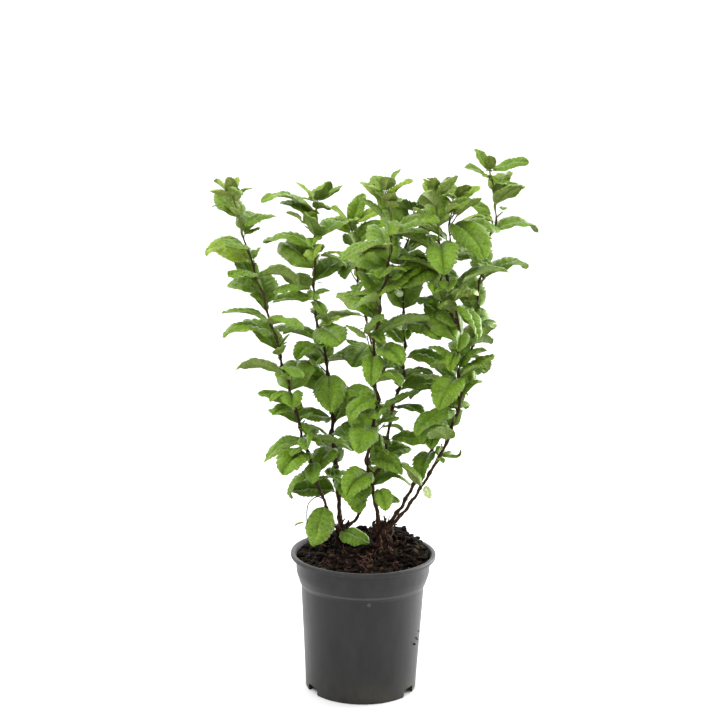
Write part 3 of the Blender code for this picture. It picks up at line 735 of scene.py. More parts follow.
rng = random.Random(5)
for name, crown in CROWNS.items():
    skin = crown_body(crown)
    rings = [[skin(r / CROWN_RINGS, 360.0 * i / CROWN_SIDES) for i in range(CROWN_SIDES)]
             for r in range(CROWN_RINGS + 1)]
    solids = [ring_solid(rings)]
    for points, radii in crown["stubs"]:
        line = Route(points, 4).points
        thick = [radii[0] + (radii[2] - radii[0]) * k / (len(line) - 1) for k in range(len(line))]
        solids.append(limb(line, thick, 12, 0.32, 1.2))
    for _ in range(crown["snags"]):
        angle, share = rng.uniform(0.0, 360.0), 1.0 - 0.7 * rng.random() ** 1.6
        start = skin(share, angle)
        lean = outward(angle + rng.uniform(*SNAG_AROUND)) + UP * rng.uniform(*SNAG_RISE)
        heading = lean.normalized()
        length, radius = rng.uniform(*SNAG_LENGTH), rng.uniform(*SNAG_RADIUS)
        elbow = start + heading * 0.5 * length
        bent = (heading + any_vector(rng, -0.6, 0.6)).normalized()
        line = Route([start - heading * 2.0, start, elbow, elbow + bent * 0.5 * length], 3).points
        thick = [radius * (1.0 - 0.045 * k) for k in range(len(line))]
        solids.append(limb(line, thick, 9, 0.35, 1.0))
    piece = joined_piece(name + "_wood", solids, old_bark_skin, 65.0)
    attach(piece, "root")
    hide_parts(name)

    peelings = []
    for _ in range(crown["strips"]):
        angle, share = rng.gauss(-70.0, 80.0), rng.uniform(0.02, 0.8)
        run, twist = rng.uniform(*STRIP_RUN), rng.uniform(*STRIP_TWIST)
        line = [skin(clamp(share + run * t, 0.0, 1.0), angle + twist * t) for t in STRIP_POINTS]
        line[-1] += outward(angle) * rng.uniform(0.2, 2.2)
        line[0] += outward(angle) * rng.uniform(0.0, 1.2)
        radius = rng.uniform(*STRIP_RADIUS)
        thick = [radius * (1.0 - 0.07 * k) for k in range(7)]
        peelings.append(limb(Route(line, 2).points, thick, 5, 0.3, 1.0))
    peel_piece = joined_piece(name + "_peeling_bark", peelings, strip_skin, 60.0)
    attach(peel_piece, "root")
    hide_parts(name)


# The canes: thin woody shoots, grown by the rule and the seeds of the solids. There is a node
# every couple of centimetres, each turned on from the last, with a leaf at each, now and then
# a short side twig, and a tuft at the tip.

# Each cane: the points that it bends through, its radii at the foot and the tip, the height
# that its leaves start at, and for each leafy stretch the seeds of its leaves and of its finer
# growth. They grow in this order, because each keeps clear of what is there already.
CANES = {
    "left": {
        "bends": ((-24, 14, 170), (-32, 24, 240), (-39, 37, 322), (-54, 50, 388), (-56, 60, 440),
                  (-55, 72, 500)),
        "radii": (2.4, 0.9), "leaves_from": 192,
        "seeds": {"low": (4772, 931), "middle": (4561, 158),
                  "high": (3048, 319), "top": (2782, 143)}},
    "outer_left": {
        "bends": ((-22, 13, 152), (-42, 2, 200), (-62, -7, 262), (-84, -16, 342), (-100, -26, 402),
                  (-119, -34, 462), (-134, -42, 517)),
        "radii": (1.9, 0.8), "leaves_from": 214,
        "seeds": {"low": (2929, 1021), "middle": (4696, 1131),
                  "high": (1607, 552), "top": (1164, 581)}},
    "rear": {
        "bends": ((-23, 14, 164), (-7, 21, 176), (3, 30, 204), (7, 52, 262), (8, 78, 334),
                  (-8, 101, 394), (-20, 128, 468)),
        "radii": (1.8, 0.8), "leaves_from": 216,
        "seeds": {"low": (130, 1002), "middle": (1801, 898), "top": (3980, 1920)}},
    "centre": {
        "bends": ((16, -9, 174), (8, -17, 224), (3, -21, 254), (11, -32, 312), (6, -41, 352),
                  (11, -56, 412), (21, -74, 482), (14, -88, 530)),
        "radii": (2.1, 0.9), "leaves_from": 206,
        "seeds": {"low": (2417, 976), "middle": (2236, 326),
                  "high": (2642, 1174), "top": (511, 404)}},
    "forked": {
        "bends": ((8, -18, 231), (21, -15, 250), (25, -8, 292), (36, 0, 330), (37, 10, 388),
                  (34, 19, 434), (45, 30, 498)),
        "radii": (1.7, 0.8), "leaves_from": 262,
        "seeds": {"low": (2330, 66), "middle": (1920, 1405), "top": (422, 1303)}},
    "right": {
        "bends": ((20, -9, 168), (42, -15, 195), (60, -20, 226), (80, -25, 266), (93, -32, 314),
                  (90, -37, 350), (88, -43, 402), (72, -50, 456), (62, -58, 522)),
        "radii": (2.0, 0.8), "leaves_from": 244,
        "seeds": {"low": (1615, 586), "middle": (2812, 1709),
                  "high": (3073, 3), "top": (286, 1506)}},
    "side": {
        "bends": ((88, -43, 396), (69, -36, 424), (77, -30, 464), (81, -20, 516)),
        "radii": (1.1, 0.7), "leaves_from": 396,
        "seeds": {"top": (1462, 431)}},
    "tall": {
        "bends": ((18, -5, 168), (37, -1, 192), (49, 3, 214), (66, 8, 244), (81, 17, 296),
                  (107, 28, 354), (113, 39, 408), (121, 48, 458), (130, 54, 494), (122, 62, 536)),
        "radii": (2.1, 0.8), "leaves_from": 240,
        "seeds": {"low": (2962, 975), "middle": (3764, 1644),
                  "high": (1624, 1169), "top": (2514, 1158)}},
}
CANE_SIDES = 6
CANE_RING_STEP = 9.0
ROOM = 0.5
NODE_STEP = 17.0
TURN = 140.0
TURN_SPREAD = 40.0
NODE_WANDER = (0.35, 0.65)
KINK = 1.3
STEM_SIDES = 5
SEED_SPACING = 1000
TWIG_CHANCE = 0.22
TWIG_LENGTH = (14.0, 30.0)
TWIG_RISE = (30.0, 60.0)
TWIG_RADIUS = 0.7
TWIG_SIDES = 3
TWIG_ROOT = 4.0
TWIG_LIFT = 0.5
TWIG_LEAVES = 3
TWIG_TIP = 0.7
TWIG_YOUTH = 0.6
TIP_LEAVES = 5
LAST_LEAF = 0.92
LEAF_LENGTH = 60.0
LEAF_SPREAD = (0.5, 1.1, 0.95)
LEAF_WIDTH = (0.54, 0.68)
LEAF_THICKNESS = 0.02
LEAF_RISE = (0.0, 50.0)
LEAF_DROOP = (10.0, 75.0)
LEAF_SWING = 35.0
LEAF_ROLL = 30.0
LEAF_FOLD = (8.0, 28.0)
LEAF_TRIES = 6
PETIOLE = 5.0
PETIOLE_HALF = 0.55
BLADE_STATIONS = ((0.0, 0.14), (0.32, 0.95), (0.7, 0.84))
LOWEST_LEAF_POINT = 149.0
STEEPEST_LEAF = 84.0
YOUNG_FROM = 0.82
YOUNG_RISE = 18.0
YOUNG_STIFFNESS = 0.7
TWIG_LEAF_SIZE = (0.42, 0.7)
TIP_LEAF_SIZE = (0.42, 0.78)
FOOT_LEAF = 0.78
LAST_NODE_LEAF = 0.6


def tube(points, radii, sides, ends=None):
    """A plain tapering limb along a line of points, its ends square to the given directions."""
    points = [Vector(point) for point in points]
    turn = 2.0 * math.pi / sides
    rings = []
    for k, point in enumerate(points):
        along = (points[min(k + 1, len(points) - 1)] - points[max(k - 1, 0)]).normalized()
        if ends and k in (0, len(points) - 1):
            along = ends[min(k, 1)]
        across = along.cross(Vector((0.0, 1.0, 0.0))).normalized()
        over = along.cross(across)
        spokes = [across * math.cos(i * turn) + over * math.sin(i * turn) for i in range(sides)]
        rings.append([point + spoke * radii[k] for spoke in spokes])
    return ring_solid(rings)


def pointing(angle, rise):
    """A direction that far round from +X and that far up, in degrees."""
    rise = math.radians(rise)
    return outward(angle) * math.cos(rise) + UP * math.sin(rise)


class Leaf:
    """One leaf's place and bearing, with the plain solid that tests its room."""

    def __init__(self, root, angle, rise, length, droop, roll, fold, width):
        self.root = root
        self.heading = pointing(angle, rise)
        self.side = self.heading.cross(UP).normalized()
        self.above = self.side.cross(self.heading)
        self.base = root + self.heading * PETIOLE * clamp(length / LEAF_LENGTH, 0.6, 1.0)
        self.length, self.droop, self.roll, self.fold = length, droop, roll, fold
        self.half_width = 0.5 * width * length
        aside, over = self.side * PETIOLE_HALF, self.above * PETIOLE_HALF
        self.rings = [[root - aside, root + over, root + aside, root - over]]
        for share, breadth in BLADE_STATIONS:
            self.rings.append(self.cross_ring(share, breadth))
        self.tip = self.midrib(1.0)

    def midrib(self, share):
        """The midrib bends down evenly along the blade, as an arc."""
        bend = max(1e-4, math.radians(self.droop) * share)
        turned = self.heading * math.sin(bend) - self.above * (1.0 - math.cos(bend))
        return self.base + turned * self.length * share / bend

    def bearing(self, share):
        """Along, across and square to the blade at a share of its length."""
        along = Matrix.Rotation(-math.radians(self.droop) * share, 3, self.side) @ self.heading
        rolled = math.radians(self.roll) * min(1.0, 4.0 * share)
        across = Matrix.Rotation(rolled, 3, along) @ self.side
        return along, across, across.cross(along)

    def cross_ring(self, share, breadth):
        """Four points round the midrib: one margin, the top, the other margin, the underside."""
        centre = self.midrib(share)
        _, across, normal = self.bearing(share)
        half = self.half_width * breadth
        lift = normal * half * math.sin(math.radians(self.fold))
        spread = across * half * math.cos(math.radians(self.fold))
        petiole_thick = 2.0 * PETIOLE_HALF * (1.0 - 2.0 * share)
        thick = normal * 0.5 * max(petiole_thick, LEAF_THICKNESS * self.length)
        return [centre - spread + lift, centre + thick, centre + spread + lift, centre - thick]

    def lowest(self):
        return min(self.tip.z, self.rings[-1][3].z)

    def solid(self, first_ring=0):
        verts, faces = ring_solid(self.rings[first_ring:])
        end = faces.pop()
        faces += [(end[i], end[(i + 1) % 4], len(verts)) for i in range(4)]
        return verts + [self.tip], faces


def draw_leaf(rng, root, angle, size, young):
    """One draw of a leaf at a node: young leaves are small and stand up, old ones arch over."""
    rise = min(STEEPEST_LEAF, rng.uniform(*LEAF_RISE) + YOUNG_RISE * young)
    droop = rng.uniform(*LEAF_DROOP) * (1.0 - YOUNG_STIFFNESS * young)
    turned = angle + rng.uniform(-LEAF_SWING, LEAF_SWING)
    length = LEAF_LENGTH * size * rng.triangular(*LEAF_SPREAD)
    roll = rng.uniform(-LEAF_ROLL, LEAF_ROLL)
    fold = rng.uniform(*LEAF_FOLD)
    return Leaf(root, turned, rise, length, droop, roll, fold, rng.uniform(*LEAF_WIDTH))


def leaf_size(share):
    """Leaves are a little smaller at a cane's foot and much smaller at its tip."""
    return min(1.0, FOOT_LEAF + 0.5 * share, LAST_NODE_LEAF + 2.0 * (1.0 - share))


def youth(share):
    """0 on the older wood, rising to 1 at the tip."""
    return clamp((share - YOUNG_FROM) / (1.0 - YOUNG_FROM), 0.0, 1.0)


def grown_share(cane, distance):
    """How far along the leafy part of its cane a distance lies."""
    return (distance - cane["leafy_from"]) / (cane["route"].length - cane["leafy_from"])


def cane_radius(cane, distance):
    foot, tip = cane["radii"]
    return foot + (tip - foot) * distance / cane["route"].length


def tree_of(*solids):
    """One search tree over the faces of all the given solids."""
    return BVHTree.FromPolygons(*joined(solids))


class Growth:
    """The stem, side twigs and leaves of one leafy stretch, grown by the seeded rule."""

    def __init__(self, stretch, kept_clear):
        self.stretch = stretch
        self.seed = stretch["seed"]
        self.kept_clear = kept_clear
        self.leaves = []
        self.twigs = []
        self.twig_lines = []
        self.own = []
        self.nodes = self.lay_stem()
        self.stem_tree = tree_of(self.stem)
        for k, (at, angle, share) in enumerate(self.nodes):
            rng = self.draws_for(k)
            self.try_leaf(rng, at, angle, leaf_size(share), youth(share))
            if rng.random() < TWIG_CHANCE and share < YOUNG_FROM:
                self.try_twig(rng, at, angle)
        if stretch["top"]:
            rng = self.draws_for(len(self.nodes))
            root = self.points[-2].lerp(self.points[-1], LAST_LEAF)
            for i in range(TIP_LEAVES):
                turned = angle + (i + 1) * 360.0 / TIP_LEAVES
                self.try_leaf(rng, root, turned, rng.uniform(*TIP_LEAF_SIZE), 1.0)

    def draws_for(self, node):
        """Each node has its own run of draws, so one skipped leaf changes no other."""
        return random.Random(SEED_SPACING * self.seed + node + 1)

    def lay_stem(self):
        """The stem kinks away from each leaf, so it runs in a slight zigzag."""
        route, start, stop = self.stretch["route"], self.stretch["start"], self.stretch["stop"]
        rng = random.Random(SEED_SPACING * self.seed)
        count = max(1, round((stop - start) / NODE_STEP))
        angle = rng.uniform(0.0, 360.0)
        begin = start + 0.5 * CLEAR
        end = stop if self.stretch["top"] else stop - 0.5 * CLEAR
        self.places, nodes = [begin], []
        self.points = [route.at(begin)]
        for i in range(count):
            distance = start + (i + rng.uniform(*NODE_WANDER)) * (stop - start) / count
            angle += TURN + rng.uniform(-TURN_SPREAD, TURN_SPREAD)
            self.places.append(distance)
            self.points.append(route.at(distance) - outward(angle) * KINK)
            nodes.append((self.points[-1], angle, grown_share(self.stretch, distance)))
        self.places.append(end)
        self.points.append(route.at(end))
        radii = [cane_radius(self.stretch, place) for place in self.places]
        ends = route.heading(start), route.heading(stop)
        self.stem = tube(self.points, radii, STEM_SIDES, ends)
        return nodes

    def touches(self, whole, outer):
        """Whether a solid meets anything else, or its outer part meets what grows here."""
        if any(whole.overlap(tree) for tree in self.kept_clear):
            return True
        return any(outer.overlap(tree) for tree in self.own + [self.stem_tree])

    def try_leaf(self, rng, root, angle, size, young):
        """A leaf that would touch something is drawn again, and in the end skipped."""
        for _ in range(LEAF_TRIES):
            leaf = draw_leaf(rng, root, angle, size, young)
            blade = tree_of(leaf.solid(1))
            high = leaf.lowest() >= LOWEST_LEAF_POINT
            if high and not self.touches(tree_of(leaf.solid()), blade):
                self.leaves.append(leaf)
                self.own.append(blade)
                return

    def try_twig(self, rng, node, angle):
        """A short side twig in the leaf's axil, with small leaves along its outer half."""
        rise = rng.uniform(*TWIG_RISE)
        heading = pointing(angle + rng.uniform(-LEAF_SWING, LEAF_SWING), rise)
        half = 0.5 * rng.uniform(*TWIG_LENGTH)
        elbow = node + heading * half
        points = [node, elbow, elbow + (heading + TWIG_LIFT * UP).normalized() * half]
        radii = (TWIG_RADIUS, TWIG_RADIUS, TWIG_TIP * TWIG_RADIUS)
        twig = tube(points, radii, TWIG_SIDES)
        outer = tree_of(tube([node + heading * TWIG_ROOT] + points[1:], radii, TWIG_SIDES))
        if self.touches(tree_of(twig), outer):
            return
        self.twigs.append(twig)
        self.twig_lines.append(points)
        self.own.append(outer)
        start_angle = rng.uniform(0.0, 360.0)
        for i in range(TWIG_LEAVES):
            share = (i + 1) / TWIG_LEAVES
            root = elbow.lerp(points[2], LAST_LEAF * share)
            size = rng.uniform(*TWIG_LEAF_SIZE)
            self.try_leaf(rng, root, start_angle + i * TURN, size, TWIG_YOUTH * share)

    def solids(self):
        return [self.stem] + self.twigs + [leaf.solid() for leaf in self.leaves]


def packed_solid(node):
    mesh = frame["nodes"][node].data
    return [v.co / MM for v in mesh.vertices], [tuple(p.vertices) for p in mesh.polygons]


def evenly_along(cane, start, stop):
    """Even distances between two along a cane, and the points there."""
    count = max(2, round((stop - start) / CANE_RING_STEP))
    distances = [start + (stop - start) * k / count for k in range(count + 1)]
    return [cane["route"].at(d) for d in distances], distances


def bare_line(cane):
    """A cane's bare lower part, with small kinks to either side in turn."""
    points, distances = evenly_along(cane, 0.0, cane["leafy_from"] - 0.5 * CLEAR)
    for k in range(2, len(points) - 2):
        points[k] = points[k] + Vector((0.5 * KINK * (-1.0) ** k, 0.0, 0.0))
    return points, distances


def cane_envelope(cane, start, stop):
    """The room that a leafy stretch's stem may kink in, kept free of other leaves."""
    points, distances = evenly_along(cane, start, stop)
    return tube(points, [cane_radius(cane, d) + KINK + ROOM for d in distances], CANE_SIDES)


placed = [packed_solid(node) for node in ("pot", "compost", "left_crown", "right_crown")]
for cane in CANES.values():
    route = cane["route"] = Route(cane["bends"])
    cane["leafy_from"] = route.at_height(cane["leaves_from"])
    if cane["leafy_from"] > 0.0:
        points, distances = bare_line(cane)
        radii = [cane_radius(cane, d) for d in distances]
        ends = (route.heading(0.0), route.heading(cane["leafy_from"]))
        placed.append(tube(points, radii, CANE_SIDES, ends))

stretches = {}
for cane_name, cane in CANES.items():
    span = (cane["route"].length - cane["leafy_from"]) / len(cane["seeds"])
    for k, (part, (seed, fine_seed)) in enumerate(cane["seeds"].items()):
        start, stop = cane["leafy_from"] + k * span, cane["leafy_from"] + (k + 1) * span
        stretches["%s_leaves_%s" % (cane_name, part)] = dict(
            cane, cane=cane_name, start=start, stop=stop, seed=seed, fine_seed=fine_seed,
            top=k == len(cane["seeds"]) - 1, envelope=cane_envelope(cane, start, stop))

growths = []
for stretch in stretches.values():
    others = [other["envelope"] for other in stretches.values() if other is not stretch]
    growth = Growth(stretch, [tree_of(*placed), tree_of(*others)])
    growths.append(growth)
    placed += growth.solids()
leafy_nodes = list(stretches)
bare_nodes = [name + "_cane" for name, cane in CANES.items() if cane["leafy_from"] > 0.0]


# The bark: thin, dark brown and nearly matt on the canes, streaked lengthwise, with a swelling
# at each node, and here and there a dead stub. It turns olive towards the tips, and the newest
# growth is green.

# Each tone: the share of the cane that it reaches to, its colour, worn colour and roughness.
BARK_TONES = {
    "brown": (0.56, (0.0125, 0.0074, 0.0032), (0.058, 0.0300, 0.0140), 0.55),
    "olive": (0.89, (0.026, 0.017, 0.006), (0.060, 0.045, 0.014), 0.5),
    "green": (1.01, (0.070, 0.095, 0.018), (0.110, 0.140, 0.030), 0.5),
}
CANE_MESH_SIDES = 12
CANE_MESH_STEPS = 6
NODE_SWELL = 0.75
BARE_SWELL = 0.45
CANE_RELIEF = 0.26
CANE_SLIM = 0.85
FOOT_FLARE = 0.45
FLARE_RUN = 16.0
STUB_CHANCE = 0.4
SWELL_FALL = 2.6
CANE_TIP = 0.6
STUB_LENGTH = (3.0, 8.5)
STUB_RADII = (0.75, 0.6, 0.5, 0.5, 0.52, 0.56, 0.34)


def bark_finish(tone, colour, worn, roughness):
    finish = Finish("bark_" + tone, 0.1)
    streaks = finish.noise(1.6, 4.0, (1.0, 1.0, 0.25))
    flecks = finish.noise(0.8, 3.0, low=0.5, high=0.62)
    tint = finish.blend(streaks * 0.7 + flecks * 0.3, colour, worn)
    return finish.wear(tint, streaks * 0.2 + roughness, streaks, 0.15)


bark_skins = {tone: bark_finish(tone, *look) for tone, (_, *look) in BARK_TONES.items()}
bark_solids = {tone: [] for tone in BARK_TONES}
for cane_name, cane in CANES.items():
    line, swells = [], []
    if cane["leafy_from"] > 0.0:
        line = bare_line(cane)[0][:-1]
        swells = [BARE_SWELL * (k % 2) for k in range(len(line))]
    for growth in growths:
        if growth.stretch["cane"] == cane_name:
            first = 0 if not line else 1
            line += growth.points[first:-1]
            swells += ([0.0] if not first else []) + [NODE_SWELL] * len(growth.nodes)
            last = growth.points[-1]
    line.append(last)
    swells.append(0.0)
    fine = Route(line, CANE_MESH_STEPS)
    radii = []
    for k, reach in enumerate(fine.reach):
        near = k / CANE_MESH_STEPS
        nearest = min(len(swells) - 1, round(near))
        swell = swells[nearest] * max(0.0, 1.0 - SWELL_FALL * abs(near - nearest))
        radius = CANE_SLIM * cane_radius(cane, cane["route"].length * reach / fine.length)
        radii.append(radius * (1.0 + swell + FOOT_FLARE * math.exp(-reach / FLARE_RUN)))
    radii[-1] *= CANE_TIP
    rings = limb_rings(fine.points, radii, CANE_MESH_SIDES, CANE_RELIEF, 1.4)
    begin = 0
    for tone, (until, *_) in BARK_TONES.items():
        end = begin
        while end < len(rings) - 1 and fine.reach[end] < until * fine.length:
            end += 1
        bark_solids[tone].append(ring_solid(rings[begin:end + 1]))
        begin = end

rng = random.Random(31)
for growth in growths:
    for at, angle, share in growth.nodes:
        if share < YOUNG_FROM and rng.random() < STUB_CHANCE:
            away = outward(angle + rng.uniform(90.0, 270.0)) + UP * rng.uniform(-0.2, 0.9)
            tip = at + away.normalized() * rng.uniform(*STUB_LENGTH)
            line = Route([at, at.lerp(tip, 0.6) + UP * 0.5, tip], 3).points
            bark_solids["brown"].append(limb(line, STUB_RADII, 7, 0.3, 1.0))
    for line in growth.twig_lines:
        fine = Route(line, 5)
        radii = [TWIG_RADIUS * (1.05 - 0.4 * reach / fine.length) for reach in fine.reach]
        bark_solids["olive"].append(limb(fine.points, radii, 7, 0.1))

for tone, solids in bark_solids.items():
    piece = joined_piece("cane_bark_" + tone, solids, bark_skins[tone], 60.0)
    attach(piece, "root")
    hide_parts(*leafy_nodes, *bare_nodes)


# The leaves: broad ovals with coarse forward teeth, sunk veins with the blade quilted up
# between them, wavy margins and a paler underside, thin and soft with a faint broad sheen.
# They darken as they age, from yellow-green at the tips. Each is a thin closed shell.

# Each tone, from the oldest leaves to the newest and then the faded ones: its slot, and its
# colours above and below.
LEAF_TONES = {
    "deep": ("leaf_mature", (0.085, 0.160, 0.010), (0.120, 0.180, 0.039)),
    "mature": ("leaf_mature", (0.108, 0.191, 0.013), (0.156, 0.228, 0.049)),
    "fresh": ("leaf_fresh", (0.103, 0.184, 0.012), (0.168, 0.232, 0.050)),
    "bright": ("leaf_fresh", (0.108, 0.186, 0.012), (0.174, 0.234, 0.054)),
    "young": ("leaf_young", (0.155, 0.236, 0.017), (0.215, 0.268, 0.060)),
    "faded": ("leaf_young", (0.400, 0.480, 0.220), (0.440, 0.500, 0.270)),
}
TONE_STEPS = (0.22, 0.46, 0.68, 0.88)
NEW_AT_FOOT = 0.08
NEW_BY_TIP = 0.62
NEW_SPREAD = (0.12, 0.17)
NEW_IF_SMALL = 0.16
MIDDLING_LEAF = 30.0
FULL_BEND_LEAF = 40.0
BLADE_ROWS = 24
BLADE_COLUMNS = (0.0, 0.05, 0.22, 0.42, 0.62, 0.82, 1.0)
SMALL_ROWS = 9
SMALL_COLUMNS = (0.0, 0.1, 0.5, 1.0)
SMALL_LEAF = 20.0
ROWS_TO_A_VEIN = 3
VEIN_SLANT = 0.2
TOOTH_CYCLE = ((0.10, 0.016), (-0.055, -0.02), (0.03, 0.0))
TOOTHED_FROM = 0.16
TOOTHED_RUN = 0.12
TOOTHLESS_TIP = 0.08
LAST_STATION = 0.985
BLADE_MM = 0.3
RIB_THICKER = 1.6
RIB_EDGE = 0.1
QUILT = 0.055
TIP_HINGE = 0.42
TIP_BEND = (-8.0, 34.0)
CAMBER = (0.10, 0.30)
FLARE = (0.05, 0.38)
TWIST = 22.0
MARGIN_WAVE = 0.07
LEAF_DARKER = 0.62
CRINKLE = 0.13
CRINKLE_WIDTH = 0.55
STALK_RADII = (0.75, 0.6, 0.62)
RIB_STATIONS = (0.12, 0.3, 0.5, 0.65, 0.8)


def breadth(share):
    """The blade's outline as a share of its half width: round below, blunt at the tip."""
    return 2.163 * share ** 0.5 * (1.0 - share) ** 0.64


def arched(leaf, bend, share):
    """Point, along, across and normal of a midrib whose tip arches over further by bend."""
    if share <= TIP_HINGE:
        return leaf.midrib(share), *leaf.bearing(share)
    along, _, _ = leaf.bearing(TIP_HINGE)
    above = leaf.side.cross(along)
    run = (share - TIP_HINGE) / (1.0 - TIP_HINGE)
    more = math.radians(leaf.droop * (1.0 - TIP_HINGE) + bend * run) * run
    safe = more if abs(more) > 1e-4 else 1e-4
    chord = (along * math.sin(safe) - above * (1.0 - math.cos(safe))) / safe
    point = leaf.midrib(TIP_HINGE) + chord * leaf.length * (share - TIP_HINGE)
    turn = Matrix.Rotation(-math.radians(bend) * run * run, 3, leaf.side)
    return point, *(turn @ axis for axis in leaf.bearing(share))


def blade_shell(leaf, bend, rng):
    """Points, faces and finish numbers of one toothed blade whose tip bends on by bend."""
    small = leaf.length < SMALL_LEAF
    rows, columns = (SMALL_ROWS, SMALL_COLUMNS) if small else (BLADE_ROWS, BLADE_COLUMNS)
    across_shares = [-u for u in reversed(columns[1:])] + list(columns)
    waves = [rng.uniform(0.0, math.tau) for _ in range(4)]
    camber, flare = rng.uniform(*CAMBER), rng.uniform(*FLARE)
    twist = rng.uniform(-TWIST, TWIST)
    crumple = Vector([rng.uniform(0.0, 50.0) for _ in range(3)])
    fold = math.radians(leaf.fold)
    verts, faces, numbers = [leaf.midrib(0.0)], [], []
    for r in range(1, rows):
        t = r / rows
        toothed = clamp((t - TOOTHED_FROM) / TOOTHED_RUN, 0.0, 1.0)
        toothed *= clamp((1.0 - t) / TOOTHLESS_TIP, 0.0, 1.0)
        tooth_out, tooth_on = TOOTH_CYCLE[r % len(TOOTH_CYCLE)]
        rise = math.cos(math.tau * r / ROWS_TO_A_VEIN)
        for u in across_shares:
            edge = abs(u)
            share = t + VEIN_SLANT * edge ** 1.3 * (1.0 - t) * min(1.0, 6.0 * t)
            reach = u
            if edge == 1.0:
                share += toothed * tooth_on
                reach *= 1.0 + toothed * tooth_out
            share = min(share, LAST_STATION)
            centre, along, side, normal = arched(leaf, bend, share)
            turn = Matrix.Rotation(math.radians(twist) * share * share, 3, along)
            side, normal = turn @ side, turn @ normal
            half = leaf.half_width * breadth(share)
            x = reach * half
            sway = waves[0:2] if u > 0.0 else waves[2:4]
            ripple = math.sin(8.0 * share + sway[0]) + 0.7 * math.sin(15.0 * share + sway[1])
            lift = abs(x) * math.sin(fold) + half * camber * edge * (1.0 - edge) * 4.0
            lift -= half * flare * edge ** 2.5
            lift += MARGIN_WAVE * leaf.half_width * edge ** 2 * ripple
            at = crumple + Vector((x, share * leaf.length, 0.0)) / (CRINKLE_WIDTH * leaf.half_width)
            lift += CRINKLE * leaf.half_width * noise.noise(at) * min(1.0, 4.0 * share, 5.0 * edge)
            if RIB_EDGE < edge < 1.0 and not small:
                lift -= QUILT * leaf.half_width * rise * math.sin(math.pi * edge) ** 0.5
            top = centre + side * x * math.cos(fold) + normal * lift
            verts.append(top)
            if edge < 1.0:
                thicker = RIB_THICKER if edge < RIB_EDGE else 1.0
                verts.append(top - normal * BLADE_MM * thicker)
    verts.append(arched(leaf, bend, 1.0)[0])
    width = len(across_shares)
    stride = 2 * width - 2
    last = len(verts) - 1

    def spot(row, column, below):
        """The number of a point on the upper or lower skin; the margins share theirs."""
        if row in (0, rows):
            return 0 if row == 0 else last
        first = 1 + (row - 1) * stride
        if column == 0:
            return first
        if column == width - 1:
            return first + stride - 1
        return first + 2 * column - 1 + below

    for r in range(rows):
        for c in range(width - 1):
            rib = c in (width // 2 - 1, width // 2)
            for below in (0, 1):
                around = ((r, c), (r, c + 1), (r + 1, c + 1), (r + 1, c))
                face = [spot(row, column, below) for row, column in around]
                if below:
                    face.reverse()
                faces.append(tuple(dict.fromkeys(face)))
                numbers.append(2 if rib else below)
    return verts, faces, numbers


def petiole(leaf, bend):
    """The stalk, carried on under the blade as its midrib."""
    points = [leaf.root, leaf.root.lerp(leaf.base, 0.5) - UP * 0.3, leaf.base]
    thin = clamp(leaf.length / LEAF_LENGTH, 0.35, 1.0)
    radii = [radius * thin for radius in STALK_RADII]
    for share in RIB_STATIONS:
        radius = thin * (0.5 - 0.45 * share)
        centre, _, _, normal = arched(leaf, bend, share)
        points.append(centre - normal * (0.35 + 0.7 * radius))
        radii.append(radius)
    return limb(points, radii, 6)


def leaf_finish(name, colour, lighter, roughness):
    """Soft leaf skin: mottled from a darker tone to a lighter one, with a fine grain."""
    finish = Finish(name, 0.18)
    mottle = finish.noise(12.0, 3.0)
    grain = finish.noise(2.0, 3.0, low=0.36, high=0.64)
    low = tuple(LEAF_DARKER * c for c in colour)
    high = tuple(lighter * c for c in colour)
    tint = finish.blend(mottle * 0.4 + grain * 0.6, low, high)
    return finish.wear(tint, grain * 0.1 + mottle * 0.06 + roughness, grain, 0.06)


leaf_skins = {}
for tone, (_, upper, under) in LEAF_TONES.items():
    rib = tuple(0.7 * a + 0.4 * b for a, b in zip(upper, under))
    leaf_skins[tone] = [leaf_finish("leaf_upper_" + tone, upper, 1.42, 0.40),
                        leaf_finish("leaf_under_" + tone, under, 1.32, 0.55),
                        leaf_finish("leaf_rib_" + tone, rib, 1.1, 0.5)]
stalk_skin = flecked("leaf_stalk", (0.130, 0.160, 0.035), (0.170, 0.130, 0.045), 0.5, 0.4)
leaf_meshes = {tone: ([], [], []) for tone in LEAF_TONES}
stalks = []


def add_blade(leaf, tone, curl=None):
    """Put a leaf into its tone's mesh, and its stalk with the stalks."""
    rng = random.Random(int(10000.0 * leaf.length))
    bend = rng.uniform(*TIP_BEND) * clamp(leaf.length / FULL_BEND_LEAF, 0.0, 1.0)
    bend = bend if curl is None else curl
    verts, faces, numbers = blade_shell(leaf, bend, rng)
    all_verts, all_faces, all_numbers = leaf_meshes[tone]
    first = len(all_verts)
    all_verts += verts
    all_faces += [tuple(first + i for i in face) for face in faces]
    all_numbers += numbers
    stalks.append(petiole(leaf, bend))


def add_by_age(leaf, cane, rng):
    """Age deals out the tone: old leaves low on a cane are deep, the newest yellow-green."""
    share = clamp((leaf.root - Vector(cane["bends"][0])).length / cane["route"].length, 0.0, 1.0)
    newness = NEW_AT_FOOT + NEW_BY_TIP * share ** 1.6 + rng.gauss(*NEW_SPREAD)
    newness += NEW_IF_SMALL if leaf.length < MIDDLING_LEAF else 0.0
    add_blade(leaf, list(LEAF_TONES)[sum(newness > step for step in TONE_STEPS)])


rng = random.Random(2024)
for growth in growths:
    for leaf in growth.leaves:
        add_by_age(leaf, growth.stretch, rng)


# The finer growth: short spurs in the axils and between the nodes, with small and middling
# leaves, and the half-open leaves at each tip. It is grown by the same rule, carried on to
# finer twigs within each mass's own reach, and keeps clear of the leaves that are there.

